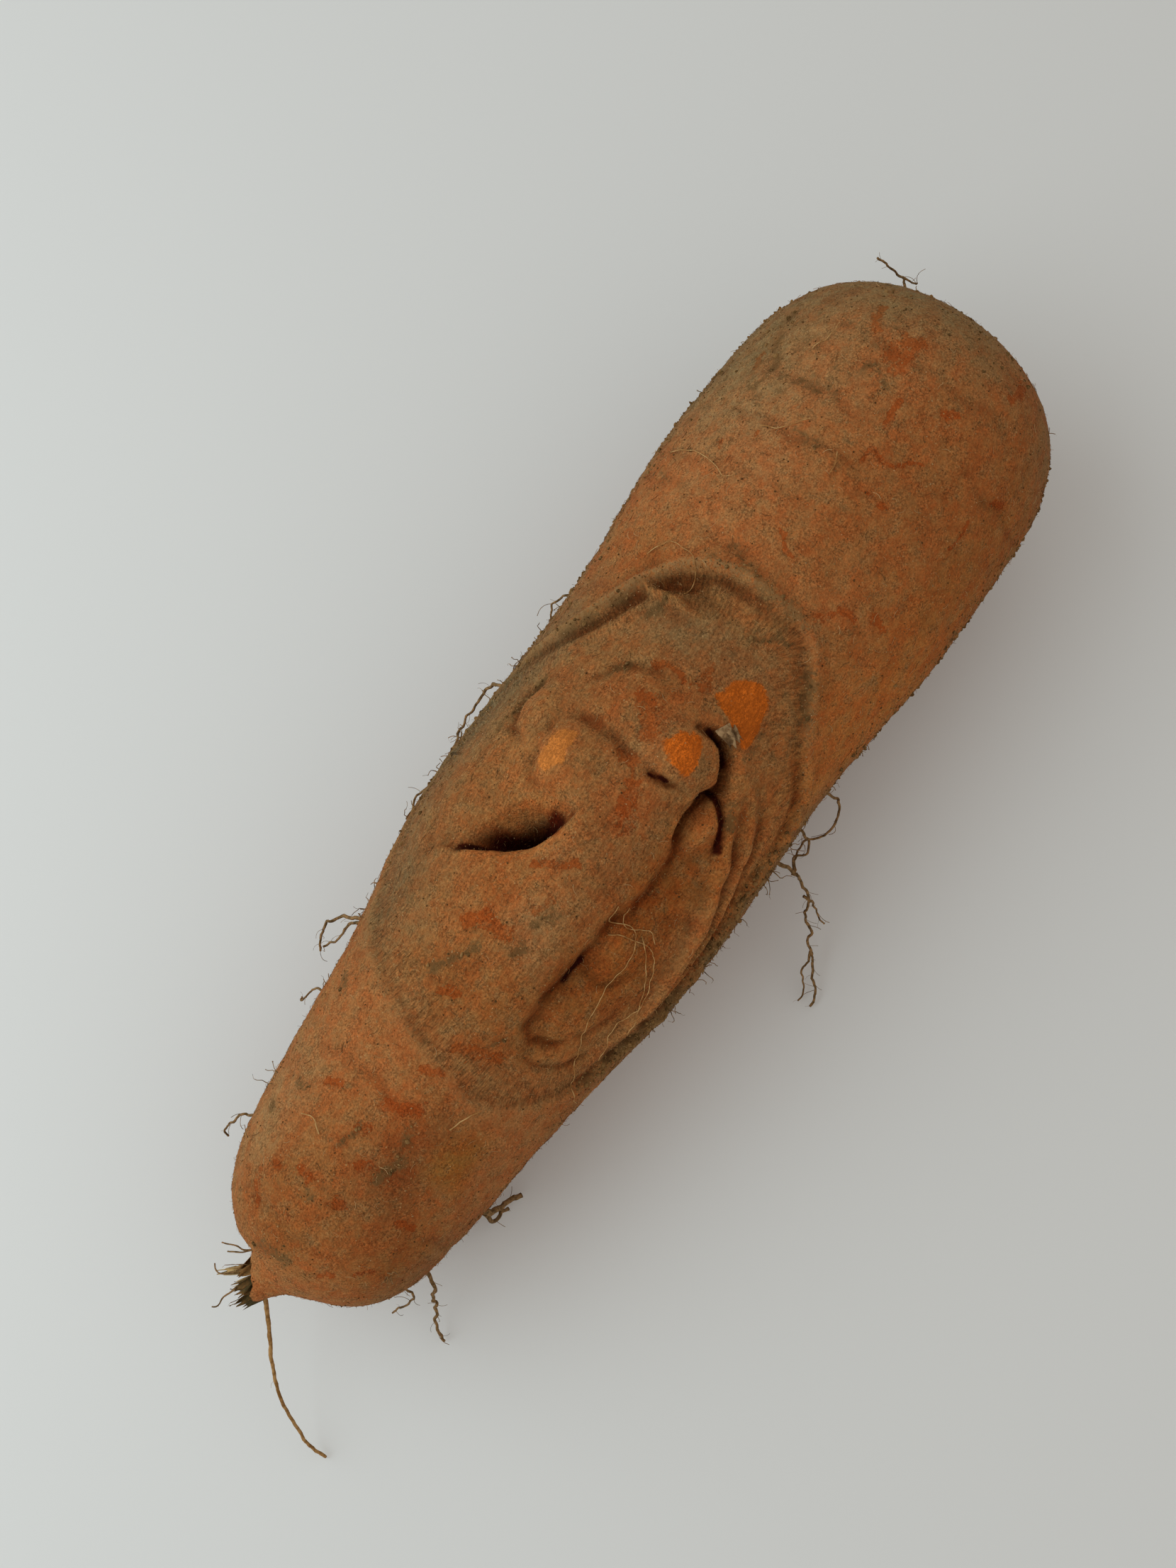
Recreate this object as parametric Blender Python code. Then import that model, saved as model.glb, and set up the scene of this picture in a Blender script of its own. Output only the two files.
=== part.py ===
"""A large carrot, unwashed, lying on its side as it was dug.

The root grew as one piece: a blunt body with a long healed wound on top, a torn neck at the
small end with its tail root, and rootlets on its sides. The stubs of the leaf stalks sit in a
dip in the crown.

Lengths are in millimetres until a mesh is made. X runs along the root towards the crown, the
surface it lies on is at Z = 0, and the model is moved at the end so that its origin is under
its middle. A place on the skin is (x, w): w is the way round from the top line, towards +Y.
"""

import math
import random

import bmesh
import bpy
import numpy as np
from mathutils import Vector

MM = 0.001
ORIGIN = (-10.9, -8.2, 0.0)

# The body. Its radius is given every 25 mm from the small end to the crown.
HALF_LENGTH = 100.0
RADIUS_STEP = 25.0
RADII = (25.6, 21.9, 23.5, 27.7, 28.5, 28.2, 30.7, 30.6, 33.2)
SMALL_END_ROUNDING = (37.0, 2.15)
CROWN_ROUNDING = (32.0, 2.5)
AXIS_HEIGHT = 28.2
AXIS_RISE = 0.034
AXIS_BEND = -0.95
SKIN_UNIT = 27.0

# The skin's slow waves: height, then wave lengths along, round, and along by round.
UNEVENNESS = 0.25
WAVES = (8.5, 11.0, 30.0)
END_FADE = 12.0

# How finely the body is divided: more rings over the wound, and more sides on top.
BODY_SIDES = 56
BODY_RINGS = 66
DENSE_RINGS = 2.0
DENSE_SIDES = 0.4
DENSE_CROWN = 2.0
WOUND_SPAN = (-60.0, 38.0)

# The wound: its outline as (x, w). The rim's lip and trench each have a height, a way in from
# the outline and a width. The floor of the wound sinks over a way in from the outline.
WOUND_OUTLINE = (
    (35, 1), (34, 7), (31, 12.5), (26, 17), (14, 26), (0, 36), (-12, 38), (-25, 37),
    (-36, 33.5), (-44, 27.5), (-50, 17), (-54, 5), (-57, -8), (-55, -20), (-47, -31),
    (-36, -35), (-10, -34.5), (8, -34), (17, -27), (26, -18.5), (33, -11),
)
RIM_LIP = (0.9, -0.8, 1.6)
RIM_TRENCH = (-1.1, 2.2, 1.7)
WOUND_SINK = (0.5, 4.0)

# The hollow below the long lobe. Both edges run from the small end to the crown. The wall under
# the lobe is steep at both ends, and softer over a span of x between them. Towards the small
# end the hollow is shallower: its share of the depth there, and the x where it starts to gain.
HOLLOW_UPPER_EDGE = (
    (-46, -13), (-43, -10.5), (-37, -9.5), (-30, -10), (-22, -10), (-12, -11.5),
    (-5, -11.5), (0, -11), (4.5, -13), (8, -12.8), (10.5, -10.8),
)
HOLLOW_LOWER_EDGE = (
    (-46, -13), (-45, -20), (-42, -25), (-36, -28), (-24, -27.5), (-12, -25.5),
    (-3, -21), (4, -17), (8, -14.5), (10.5, -10.8),
)
HOLLOW_DEPTH = 4.4
SHALLOW_SHARE = 0.7
SHALLOW_SPAN = (-30.0, -12.0)
HOLLOW_WALL = 2.6
SOFT_WALL = 4.6
SOFT_SPAN = (-13.0, 7.0)
FLOOR_POWER = 0.8

# Lobes, knobs and pits: centre (x, w), half sizes along x and w, height.
SWELLINGS = {
    "long lobe": ((-25, -5), (24, 6), 1.9),
    "cheek": ((-30, 6), (12, 9), 0.9),
    "hump by the slit": ((-23, 23), (9, 7), 1.3),
    "slope into the slit": ((-19, 13), (6, 5), -1.8),
    "mouth of the slit": ((-17.6, 8.0), (4, 3.4), -2.2),
    "middle knob": ((-5, 8), (6, 5), 1.6),
    "bare knob": ((5.5, -4.5), (6.5, 6), 2.2),
    "upper knob": ((-1, 18.5), (5, 3.5), 0.9),
    "pit below the upper knob": ((-1, 14.5), (2, 1.4), -0.9),
    "pit beside the bare knob": ((0.5, -5), (1.6, 2.2), -1.2),
    "knob in the hollow": ((-23, -16.5), (5.5, 5), 2.0),
    "fold in the hollow": ((-1, -16), (5, 3), 1.8),
    "plate towards the crown": ((20, 3), (9, 14), -0.5),
    "crescent by the crown": ((29.5, 9), (2.2, 5.5), -1.2),
}

# Grooves and ridges: the line, its depth, and its width on the left and right of the run.
FOLDS = {
    "deep slit": (
        ((-26, 16), (-23.5, 12.5), (-20.5, 8.5), (-18, 5), (-15.5, 3.2), (-12.5, 2.2)), 6.4, 3.4, 1.9,
    ),
    "slit under the bare knob": (
        ((13, -5), (11.8, -8), (10.5, -11), (8, -13), (4.5, -13.4)), 3.2, 2.0, 1.8,
    ),
    "fold above the bare knob": (((10, 12), (13, 10), (14.8, 6), (15, 1)), 0.8, 1.4, 1.4),
    "ridge by the crown": (((26.3, 17), (26.8, 12), (26.8, 6)), -1.0, 1.2, 1.2),
    "lower lip": (
        ((-40, -29), (-30, -30), (-20, -29.5), (-10, -27), (-2, -22.5), (5, -18.5)), -1.1, 1.8, 1.8,
    ),
    "line below the lip": (((3, -25), (-4, -29.5), (-12, -32), (-24, -33)), 0.9, 1.4, 1.4),
    "end of the hollow": (((-43.5, -15), (-42, -19.5), (-39.5, -22)), 0.7, 1.2, 1.2),
}
FOLD_END_SHARE = 0.35
FOLD_FADE = 0.25

# Creases across the skin: x, middle w, half length round the root.
CREASES = (
    (-90, 10, 16), (-79, -40, 20), (-70, 60, 22), (-63.5, 8, 12), (37.5, 6, 12), (44.5, 27, 10),
    (49.5, 17, 14), (53, -55, 22), (59.5, 10, 14), (67.5, 14, 12), (71, -30, 16), (74, 62, 20),
    (80, -4, 18), (86, 34, 14), (12, 74, 18), (-20, -70, 20), (-44, 66, 16),
)
CREASE_DEPTH = 0.45
CREASE_WIDTH = 1.6

# The torn neck and its dry fibres, which spread a little and lean up.
NECK_ROUTE = ((-90, -1.5, 27), (-96, 0, 27), (-100, 1.8, 26.6), (-104, 3.6, 26))
NECK_RADII = (9.0, 6.2, 4.4, 3.4)
FIBRE_COUNT = 11
FIBRE_LENGTH = (2.6, 5.4)
FIBRE_RADIUS = (0.5, 0.8)
FIBRE_SPREAD = 2.6
FIBRE_FAN = 0.12
FIBRE_SWAY = ((-0.1, 0.3), (-0.2, 0.1))
FIBRE_TAPER = 0.45
FIBRE_FLATNESS = 0.75
NECK_SIDES = 12

# Free roots: route, radius at the root and at the tip.
TAIL_ROOT = (
    (-102, 1.5, 25), (-104, -0.3, 23), (-107.5, -2.6, 19.5), (-112.3, -6.2, 16.5),
    (-116.2, -9.8, 13.5), (-119.5, -14, 10), (-121.6, -17.6, 6.2), (-123.4, -21.3, 2.6),
    (-123.7, -23.6, 0.8),
)
TAIL_RADII = (1.5, 0.55)
SIDE_ROOTS = {
    "long right": (((4, -24, 25), (6.3, -28.6, 22), (6.8, -33, 19), (3.6, -37.9, 13),
                    (-0.9, -42.6, 7), (-5.7, -46.9, 2.5), (-8.2, -48.4, 1.3)), 0.6, 0.4),
    "right loop": (((19, -24, 27), (21.5, -30.4, 23), (19.3, -32.2, 21), (15.2, -32.2, 19.5),
                    (10.5, -31.2, 18.7), (6.5, -33.2, 18)), 0.45, 0.4),
    "right stub": (((-70, -14, 16), (-72, -20, 10), (-71, -23, 6), (-69, -24.4, 4),
                    (-66.5, -25.6, 2.8)), 0.95, 0.6),
    "left loop": (((-42, 21, 29), (-44.6, 26.5, 24.5), (-47, 29.2, 22), (-50, 29.8, 18.5),
                   (-52.1, 28.4, 16)), 0.5, 0.4),
    "left strand": (((4, 25, 31), (1.7, 31, 26), (-4, 32, 23), (-10, 31.2, 22), (-15, 30, 22.6)), 0.45, 0.4),
    "small end": (((-86, -13, 16), (-89, -22.5, 10), (-92.5, -25.3, 5), (-95.6, -28.4, 1.6)), 0.5, 0.4),
    "crown": (((96, 10, 45), (101.6, 12.3, 39.5), (101.6, 15, 40.5), (100.6, 17.6, 42)), 0.45, 0.35),
}

# Short rootlets on the sides and underneath, in four rows, by a seeded rule. A route leaves the
# skin in four points: shares of its reach, and heights off the skin.
ROOTLET_ROWS = (58.0, -58.0, 70.0, -70.0)
ROOTLET_SPAN = (-78.0, 84.0)
ROOTLET_START = 16.0
ROOTLET_SPACES = (0.8, 1.3)
ROOTLET_SWEEP = 0.3
ROOTLET_WAY = (0.0, 0.15, 0.55, 1.0)
ROOTLET_LIFTS = (0.9, 1.5, 1.1)
ROOTLET_CLEARANCE = 1.0
ROOTLET_SPACING = 34.0
ROOTLET_REACH = (7.0, 12.0)
ROOTLET_RADII = (0.55, 0.4)
ROOT_SINK = 2.0

# The dip in the crown, and the leaf stubs in it.
DIP_RADII = (6.5, 10.5)
DIP_DEPTH = 4.0
STUB_DISC = (5.0, 1.6)
DISC_TAPER = 0.9
STUB_SINK = 0.4
STUB_FAN = 0.1
STUB_FLATNESS = 0.7
STUB_COUNT = 9
STUB_LENGTH = (2.4, 4.2)
STUB_RADII = (1.5, 0.9)
STUB_SPREAD = 1.25
FIT_GAP = 0.45
GOLDEN_ANGLE = 2.39996
SHARP_ANGLE = 40.0

SEED = 11


def smooth_line(points, steps=8, closed=False):
    """A smooth curve through the points, as more points."""
    knots = np.array(points, float)
    if closed:
        knots = np.vstack([knots[-1:], knots, knots[:2]])
    else:
        knots = np.vstack([2 * knots[:1] - knots[1:2], knots, 2 * knots[-1:] - knots[-2:-1]])
    t = np.linspace(0, 1, steps, endpoint=False)[:, None]
    spans = []
    for a, b, c, d in zip(knots, knots[1:], knots[2:], knots[3:]):
        spans.append(b + 0.5 * t * (c - a + t * (2 * a - 5 * b + 4 * c - d + t * (3 * b - a - 3 * c + d))))
    if not closed:
        spans.append(knots[-2:-1])
    return np.vstack(spans)


def smooth_step(value, low, high):
    """0 below low, 1 above high, and smooth between."""
    share = np.clip((value - low) / (high - low), 0, 1)
    return share * share * (3 - 2 * share)


def line_distance(places, line):
    """How far each place is from a line, plus on the left of its run, and how far along it is."""
    run = np.diff(line, axis=0)
    gap = places[:, None] - line[:-1]
    share = np.clip((gap * run).sum(2) / (run ** 2).sum(1), 0, 1)
    off = np.linalg.norm(gap - share[..., None] * run, axis=2)
    nearest = off.argmin(1)
    rows = np.arange(len(places))
    side = run[nearest, 0] * gap[rows, nearest, 1] - run[nearest, 1] * gap[rows, nearest, 0]
    along = (nearest + share[rows, nearest]) / len(run)
    return off[rows, nearest] * np.where(side < 0, -1, 1), along


def end_rounding(way_in, rounding):
    """How much of the full radius is left at a way in from a rounded end."""
    length, power = rounding
    share = np.clip(1 - way_in / length, 0, 1)
    return (1 - share ** power) ** (1 / power)


def radius_at(x):
    stations = [(i * RADIUS_STEP - HALF_LENGTH, radius) for i, radius in enumerate(RADII)]
    profile = smooth_line(stations, 10)
    full = np.interp(x, profile[:, 0], profile[:, 1])
    full = full * end_rounding(x + HALF_LENGTH, SMALL_END_ROUNDING)
    return full * end_rounding(HALF_LENGTH - x, CROWN_ROUNDING)


def skin_points(x, w, lift=0.0):
    """Points in space for places on the skin, lifted off it."""
    reach = radius_at(x) + lift
    y = AXIS_BEND * (x / HALF_LENGTH) ** 2 + reach * np.sin(w / SKIN_UNIT)
    z = AXIS_HEIGHT + AXIS_RISE * x + reach * np.cos(w / SKIN_UNIT)
    return np.stack([x, y, z], axis=-1)


def swelling(places, centre, half_sizes, height):
    off = (places - centre) / half_sizes
    return height * np.exp(-(off ** 2).sum(1))


def fold(places, line, depth, left_width, right_width):
    """A groove along a line, or a ridge where the depth is negative. It fades at both ends."""
    distance, along = line_distance(places, smooth_line(line))
    width = np.where(distance > 0, left_width, right_width)
    fade = smooth_step(np.minimum(along, 1 - along), 0, FOLD_FADE)
    fade = FOLD_END_SHARE + (1 - FOLD_END_SHARE) * fade
    return -depth * fade * np.exp(-(distance / width) ** 2)


def hollow(places):
    """The basin below the long lobe: a steep wall under the lobe, then a slope up to the lip."""
    upper, _ = line_distance(places, smooth_line(HOLLOW_UPPER_EDGE))
    lower, _ = line_distance(places, smooth_line(HOLLOW_LOWER_EDGE))
    below = np.clip(-upper, 0, None)
    above = np.clip(lower, 0, None)
    slope = above / np.maximum(below + above, 0.01)
    soft_middle, soft_half = SOFT_SPAN
    softness = np.exp(-((places[:, 0] - soft_middle) / soft_half) ** 4)
    wall = HOLLOW_WALL + (SOFT_WALL - HOLLOW_WALL) * softness
    gain = smooth_step(places[:, 0], *SHALLOW_SPAN)
    depth = HOLLOW_DEPTH * (SHALLOW_SHARE + (1 - SHALLOW_SHARE) * gain)
    return -depth * smooth_step(below / wall, 0, 1) * slope ** FLOOR_POWER


def wound_rim(places):
    inside, _ = line_distance(places, smooth_line(WOUND_OUTLINE, closed=True))
    relief = np.zeros(len(places))
    for height, way_in, width in (RIM_LIP, RIM_TRENCH):
        relief += height * np.exp(-((inside - way_in) / width) ** 2)
    sink, way_in = WOUND_SINK
    return relief - sink * smooth_step(inside, 0, way_in)


def creases(places):
    relief = np.zeros(len(places))
    for x, w, half_length in CREASES:
        across = np.exp(-((places[:, 0] - x) / CREASE_WIDTH) ** 2)
        relief -= CREASE_DEPTH * across * np.exp(-((places[:, 1] - w) / half_length) ** 4)
    return relief


def relief_at(places):
    """How far the skin stands out from the plain body, at places (x, w)."""
    x, w = places.T
    along, around, twist = WAVES
    relief = UNEVENNESS * np.sin(x / along + 1) * np.cos(w / around + x / twist) + creases(places)
    relief += wound_rim(places) + hollow(places)
    for centre, half_sizes, height in SWELLINGS.values():
        relief += swelling(places, centre, half_sizes, height)
    for line, depth, left_width, right_width in FOLDS.values():
        relief += fold(places, line, depth, left_width, right_width)
    return relief * smooth_step(HALF_LENGTH - np.abs(x), 0, END_FADE)


def ring_places():
    """The x of each ring, evenly spaced along the skin but closer over the wound and the dip."""
    x = HALF_LENGTH * np.cos(np.linspace(0, np.pi, 2001))
    run = np.hypot(np.diff(x), np.diff(radius_at(x)))
    middle = (x[1:] + x[:-1]) / 2
    dense = (middle > WOUND_SPAN[0]) & (middle < WOUND_SPAN[1])
    dense |= middle > HALF_LENGTH - DENSE_CROWN
    way = np.concatenate([[0], np.cumsum(run * np.where(dense, DENSE_RINGS, 1))])
    return np.interp(np.linspace(0, way[-1], BODY_RINGS + 1), way, x)


def new_object(name, mesh_maker, collection):
    """An object of the collection with the mesh that a bmesh holds. The bmesh is freed."""
    mesh = bpy.data.meshes.new(name)
    mesh_maker.to_mesh(mesh)
    mesh_maker.free()
    made = bpy.data.objects.new(name, mesh)
    collection.objects.link(made)
    return made


def make_body(collection):
    """A sphere whose rings are moved to the root's profile and lifted by the relief."""
    shape = bmesh.new()
    bmesh.ops.create_uvsphere(shape, u_segments=BODY_SIDES, v_segments=BODY_RINGS, radius=1)
    ball = np.array([vert.co for vert in shape.verts], float)
    turn = -np.arctan2(ball[:, 1], ball[:, 0])
    turn = turn - DENSE_SIDES * np.sin(turn)
    ring = np.rint(np.arccos(np.clip(ball[:, 2], -1, 1)) / math.pi * BODY_RINGS).astype(int)
    places = np.stack([ring_places()[ring], turn * SKIN_UNIT], axis=1)
    points = skin_points(places[:, 0], places[:, 1], relief_at(places))
    from_axis = radius_at(places[:, 0])
    crown_side = places[:, 0] > 0
    points[:, 0] -= DIP_DEPTH * crown_side * (1 - smooth_step(from_axis, *DIP_RADII))
    points[:, 2] = np.maximum(points[:, 2], 0)
    for vert, point in zip(shape.verts, points):
        vert.co = Vector(point) * MM
    return new_object("carrot_root", shape, collection)


def make_tube(name, route, radii, sides, steps, collection):
    """A closed tube along a smooth route, with radii spread evenly along it."""
    points = smooth_line(route, steps)
    way = np.linspace(0, 1, len(points))
    widths = np.interp(way, np.linspace(0, 1, len(radii)), radii)
    curve = bpy.data.curves.new(name, "CURVE")
    curve.dimensions = "3D"
    curve.bevel_depth = MM
    curve.bevel_resolution = (sides - 4) // 2
    curve.use_fill_caps = True
    spline = curve.splines.new("POLY")
    spline.points.add(len(points) - 1)
    for knot, point, width in zip(spline.points, points, widths):
        knot.co = (*(point * MM), 1)
        knot.radius = width
    wire = bpy.data.objects.new(name, curve)
    collection.objects.link(wire)
    bpy.context.view_layer.update()
    graph = bpy.context.evaluated_depsgraph_get()
    mesh = bpy.data.meshes.new_from_object(wire.evaluated_get(graph))
    bpy.data.objects.remove(wire)
    shape = bmesh.new()
    shape.from_mesh(mesh)
    bpy.data.meshes.remove(mesh)
    bmesh.ops.remove_doubles(shape, verts=shape.verts, dist=0.01 * MM)
    bmesh.ops.recalc_face_normals(shape, faces=shape.faces)
    return new_object(name, shape, collection)


def make_spike(name, base, direction, length, radii, flatness, collection):
    """A short tapered piece with six sides, flattened, from a base point along a direction."""
    shape = bmesh.new()
    bmesh.ops.create_cone(
        shape, cap_ends=True, segments=6, radius1=radii[0] * MM, radius2=radii[1] * MM, depth=length * MM
    )
    spin = Vector(direction).to_track_quat("Z", "Y")
    for vert in shape.verts:
        vert.co.x *= flatness
        vert.co.z += length * MM / 2
        vert.co = spin @ vert.co + Vector(base) * MM
    return new_object(name, shape, collection)


def make_neck(collection):
    make_tube("neck", NECK_ROUTE, NECK_RADII, NECK_SIDES, 3, collection)
    rng = random.Random(SEED)
    end = np.array(NECK_ROUTE[-1], float)
    out = end - NECK_ROUTE[-2]
    out /= np.linalg.norm(out)
    for number in range(FIBRE_COUNT):
        turn = number * GOLDEN_ANGLE
        off = FIBRE_SPREAD * math.sqrt((number + 0.5) / FIBRE_COUNT)
        side = np.array([0, math.cos(turn), math.sin(turn)])
        sway = [rng.uniform(*limits) for limits in FIBRE_SWAY]
        lean = out + FIBRE_FAN * off * side + np.array([0, *sway])
        base = end + off * side - ROOT_SINK * out
        length = rng.uniform(*FIBRE_LENGTH) + ROOT_SINK
        width = rng.uniform(*FIBRE_RADIUS)
        radii = (width, width * FIBRE_TAPER)
        make_spike(f"fibre_{number}", base, lean, length, radii, FIBRE_FLATNESS, collection)


def make_side_rootlets(collection):
    """Short rootlets that leave the skin, bend towards the small end and lie close to it."""
    rng = random.Random(SEED + 1)
    number = 0
    for row in ROOTLET_ROWS:
        x = ROOTLET_SPAN[0] + rng.uniform(0, ROOTLET_START)
        while x < ROOTLET_SPAN[1]:
            reach = rng.uniform(*ROOTLET_REACH)
            sweep = math.copysign(1, row) * rng.uniform(-ROOTLET_SWEEP, ROOTLET_SWEEP) * reach
            way = np.array(ROOTLET_WAY)
            lifts = np.array([-ROOT_SINK, *ROOTLET_LIFTS])
            route = skin_points(x - way * reach, row + way * sweep, lifts)
            route[:, 2] = np.maximum(route[:, 2], ROOTLET_CLEARANCE)
            make_tube(f"rootlet_{number}", route, ROOTLET_RADII, 4, 2, collection)
            number += 1
            x += ROOTLET_SPACING * rng.uniform(*ROOTLET_SPACES)


def make_free_roots(collection):
    make_tube("tail_root", TAIL_ROOT, TAIL_RADII, 8, 2, collection)
    for name, (route, thick, thin) in SIDE_ROOTS.items():
        make_tube(name, route, (thick, thin), 6, 2, collection)
    make_side_rootlets(collection)


def fuse(main, pieces):
    """Joins the collection's pieces to the main object and removes them."""
    union = main.modifiers.new("grown together", "BOOLEAN")
    union.operation = "UNION"
    union.operand_type = "COLLECTION"
    union.collection = pieces
    bpy.context.view_layer.update()
    graph = bpy.context.evaluated_depsgraph_get()
    fused = bpy.data.meshes.new_from_object(main.evaluated_get(graph))
    main.modifiers.remove(union)
    main.data = fused
    for piece in list(pieces.objects):
        bpy.data.objects.remove(piece)
    bpy.data.collections.remove(pieces)


def make_leaf_stubs(collection, pieces):
    """Short stubs of leaf stalks on the small disc that they grow from."""
    disc_radius, disc_thickness = STUB_DISC
    floor_x = HALF_LENGTH - DIP_DEPTH + FIT_GAP
    centre = skin_points(np.array(HALF_LENGTH), 0.0)
    base = np.array([floor_x, centre[1], centre[2]])
    rng = random.Random(SEED + 2)
    disc_radii = (disc_radius, disc_radius * DISC_TAPER)
    disc = make_spike("leaf_stubs", base, (1, 0, 0), disc_thickness, disc_radii, 1.0, collection)
    for number in range(STUB_COUNT):
        turn = number * GOLDEN_ANGLE
        off = STUB_SPREAD * math.sqrt(number)
        side = np.array([0, math.cos(turn), math.sin(turn)])
        foot = base + off * side + np.array([disc_thickness * STUB_SINK, 0, 0])
        lean = np.array([1.0, 0, 0]) + STUB_FAN * off * side
        length = rng.uniform(*STUB_LENGTH)
        make_spike(f"stub_{number}", foot, lean, length, STUB_RADII, STUB_FLATNESS, pieces)
    fuse(disc, pieces)
    return disc


def plain_material(name, colour, roughness):
    material = bpy.data.materials.new(name)
    material.use_nodes = True
    shader = material.node_tree.nodes["Principled BSDF"]
    shader.inputs["Base Color"].default_value = (*colour, 1)
    shader.inputs["Roughness"].default_value = roughness
    shader.inputs["Metallic"].default_value = 0
    return material


def finish(made, material):
    """Moves the mesh so that the origin is under the model's middle, and colours and shades it."""
    for vert in made.data.vertices:
        vert.co -= Vector(ORIGIN) * MM
    made.data.materials.clear()
    made.data.materials.append(material)
    made.data.shade_smooth()
    made.data.set_sharp_from_angle(angle=math.radians(SHARP_ANGLE))


def main():
    for old in list(bpy.data.objects):
        bpy.data.objects.remove(old)
    carrot = bpy.data.collections.new("carrot")
    bpy.context.scene.collection.children.link(carrot)
    growths = bpy.data.collections.new("growths")
    stubs = bpy.data.collections.new("stubs")
    bpy.context.scene.collection.children.link(growths)
    bpy.context.scene.collection.children.link(stubs)

    root = make_body(carrot)
    make_neck(growths)
    make_free_roots(growths)
    fuse(root, growths)
    leaves = make_leaf_stubs(carrot, stubs)
    finish(root, plain_material("carrot_skin", (0.34, 0.115, 0.035), 0.75))
    finish(leaves, plain_material("dry_leaf_stub", (0.12, 0.09, 0.04), 0.85))


main()
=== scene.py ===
import math

import bmesh
import bpy
import numpy as np
from mathutils import Matrix, Vector, noise
from mathutils.bvhtree import BVHTree


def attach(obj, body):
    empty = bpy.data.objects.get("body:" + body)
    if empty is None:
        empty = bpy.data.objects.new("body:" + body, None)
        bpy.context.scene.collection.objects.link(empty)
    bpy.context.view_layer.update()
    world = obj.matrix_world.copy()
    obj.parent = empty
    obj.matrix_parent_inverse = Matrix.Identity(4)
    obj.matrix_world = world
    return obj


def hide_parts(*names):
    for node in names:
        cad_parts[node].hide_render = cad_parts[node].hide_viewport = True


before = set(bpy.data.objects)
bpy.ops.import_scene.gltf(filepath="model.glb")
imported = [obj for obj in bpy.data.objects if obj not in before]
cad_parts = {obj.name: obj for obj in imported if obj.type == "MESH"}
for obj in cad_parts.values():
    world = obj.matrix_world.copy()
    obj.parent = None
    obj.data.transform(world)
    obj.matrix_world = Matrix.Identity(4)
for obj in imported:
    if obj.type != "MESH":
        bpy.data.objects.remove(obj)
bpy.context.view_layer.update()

# The camera. It looks down on the root from 80 degrees above the surface, as a phone held
# over a table does. Its place and target are in metres in the model's own frame.
CAMERA_PLACE = (-0.0353, -0.0169, 0.3341)
CAMERA_TARGET = (0.00977, 0.01534, 0.020)
LENS_ON_FULL_FRAME = 41.26

camera_data = bpy.data.cameras.new("camera")
camera_data.sensor_width = 36.0
camera_data.lens = LENS_ON_FULL_FRAME
camera_data.clip_start = 0.01
camera = bpy.data.objects.new("camera", camera_data)
bpy.context.scene.collection.objects.link(camera)
view_line = Vector(CAMERA_TARGET) - Vector(CAMERA_PLACE)
camera.matrix_world = Matrix.Translation(CAMERA_PLACE) @ view_line.to_track_quat("-Z",
                                                                                 "Y").to_matrix().to_4x4()
bpy.context.scene.camera = camera
bpy.context.scene.view_settings.view_transform = "Standard"

# The root's shape. One storage root, grown in one piece: a blunt body with a healed wound on
# top and a torn neck at its small end. Lengths are in millimetres until the mesh is made. A
# place on the skin is (x, w): x runs towards the crown, w round from the top line towards +Y.
MM = 0.001
MIDDLE = np.array([10.9, 8.2, 0.0])
HALF_LENGTH = 100.0
RADIUS_STEP = 25.0
RADII = (25.6, 21.9, 23.5, 27.7, 28.5, 28.2, 30.7, 30.6, 33.2)
SMALL_END_ROUNDING = (37.0, 2.15)
CROWN_ROUNDING = (32.0, 2.5)
AXIS_HEIGHT = 28.2
AXIS_RISE = 0.034
AXIS_BEND = -0.95
SKIN_UNIT = 27.0

ROOT_SIDES = 284
ROOT_RINGS = 344
DENSE_SIDES = 0.42
WOUND_SPAN = (-60.0, 38.0)
# How much closer the rings are over the wound and on the neck.
CLOSER_OVER_WOUND = 1.45
CLOSER_ON_NECK = 2.6

WOUND_OUTLINE = (
    (-12, 38), (-25, 37), (-36, 33.5), (-43, 28.5), (-48, 21), (-51, 13), (-54, 5), (-56, -5),
    (-57, -13), (-55, -20), (-51, -27), (-46, -32), (-36, -35), (-22, -35), (-8, -34), (4, -34),
    (12, -33), (17, -27), (22, -21.5), (29, -16), (34, -10), (35, 1), (34, 7), (31, 12.5),
    (26, 17), (20, 21), (14, 26), (8, 31.5), (0, 36),
)
HOLLOW_UPPER_EDGE = (
    (-46, -13), (-43, -10.5), (-37, -9.5), (-30, -10), (-22, -10), (-12, -11.5),
    (-5, -11.5), (0, -11), (4.5, -13), (8, -12.8), (10.5, -10.8),
)
HOLLOW_LOWER_EDGE = (
    (-46, -13), (-45, -20), (-42, -25), (-36, -28), (-24, -27.5), (-12, -25.5),
    (-3, -21), (4, -17), (8, -14.5), (10.5, -10.8),
)
HOLLOW_DEPTH = 4.9
HOLLOW_SHALLOWS = (0.62, -30.0, -12.0)
HOLLOW_WALL = 1.5
FAR_WALL = 3.2
SOFT_WALL = 5.4
SOFT_SPAN = (-13.0, 7.5)

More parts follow.
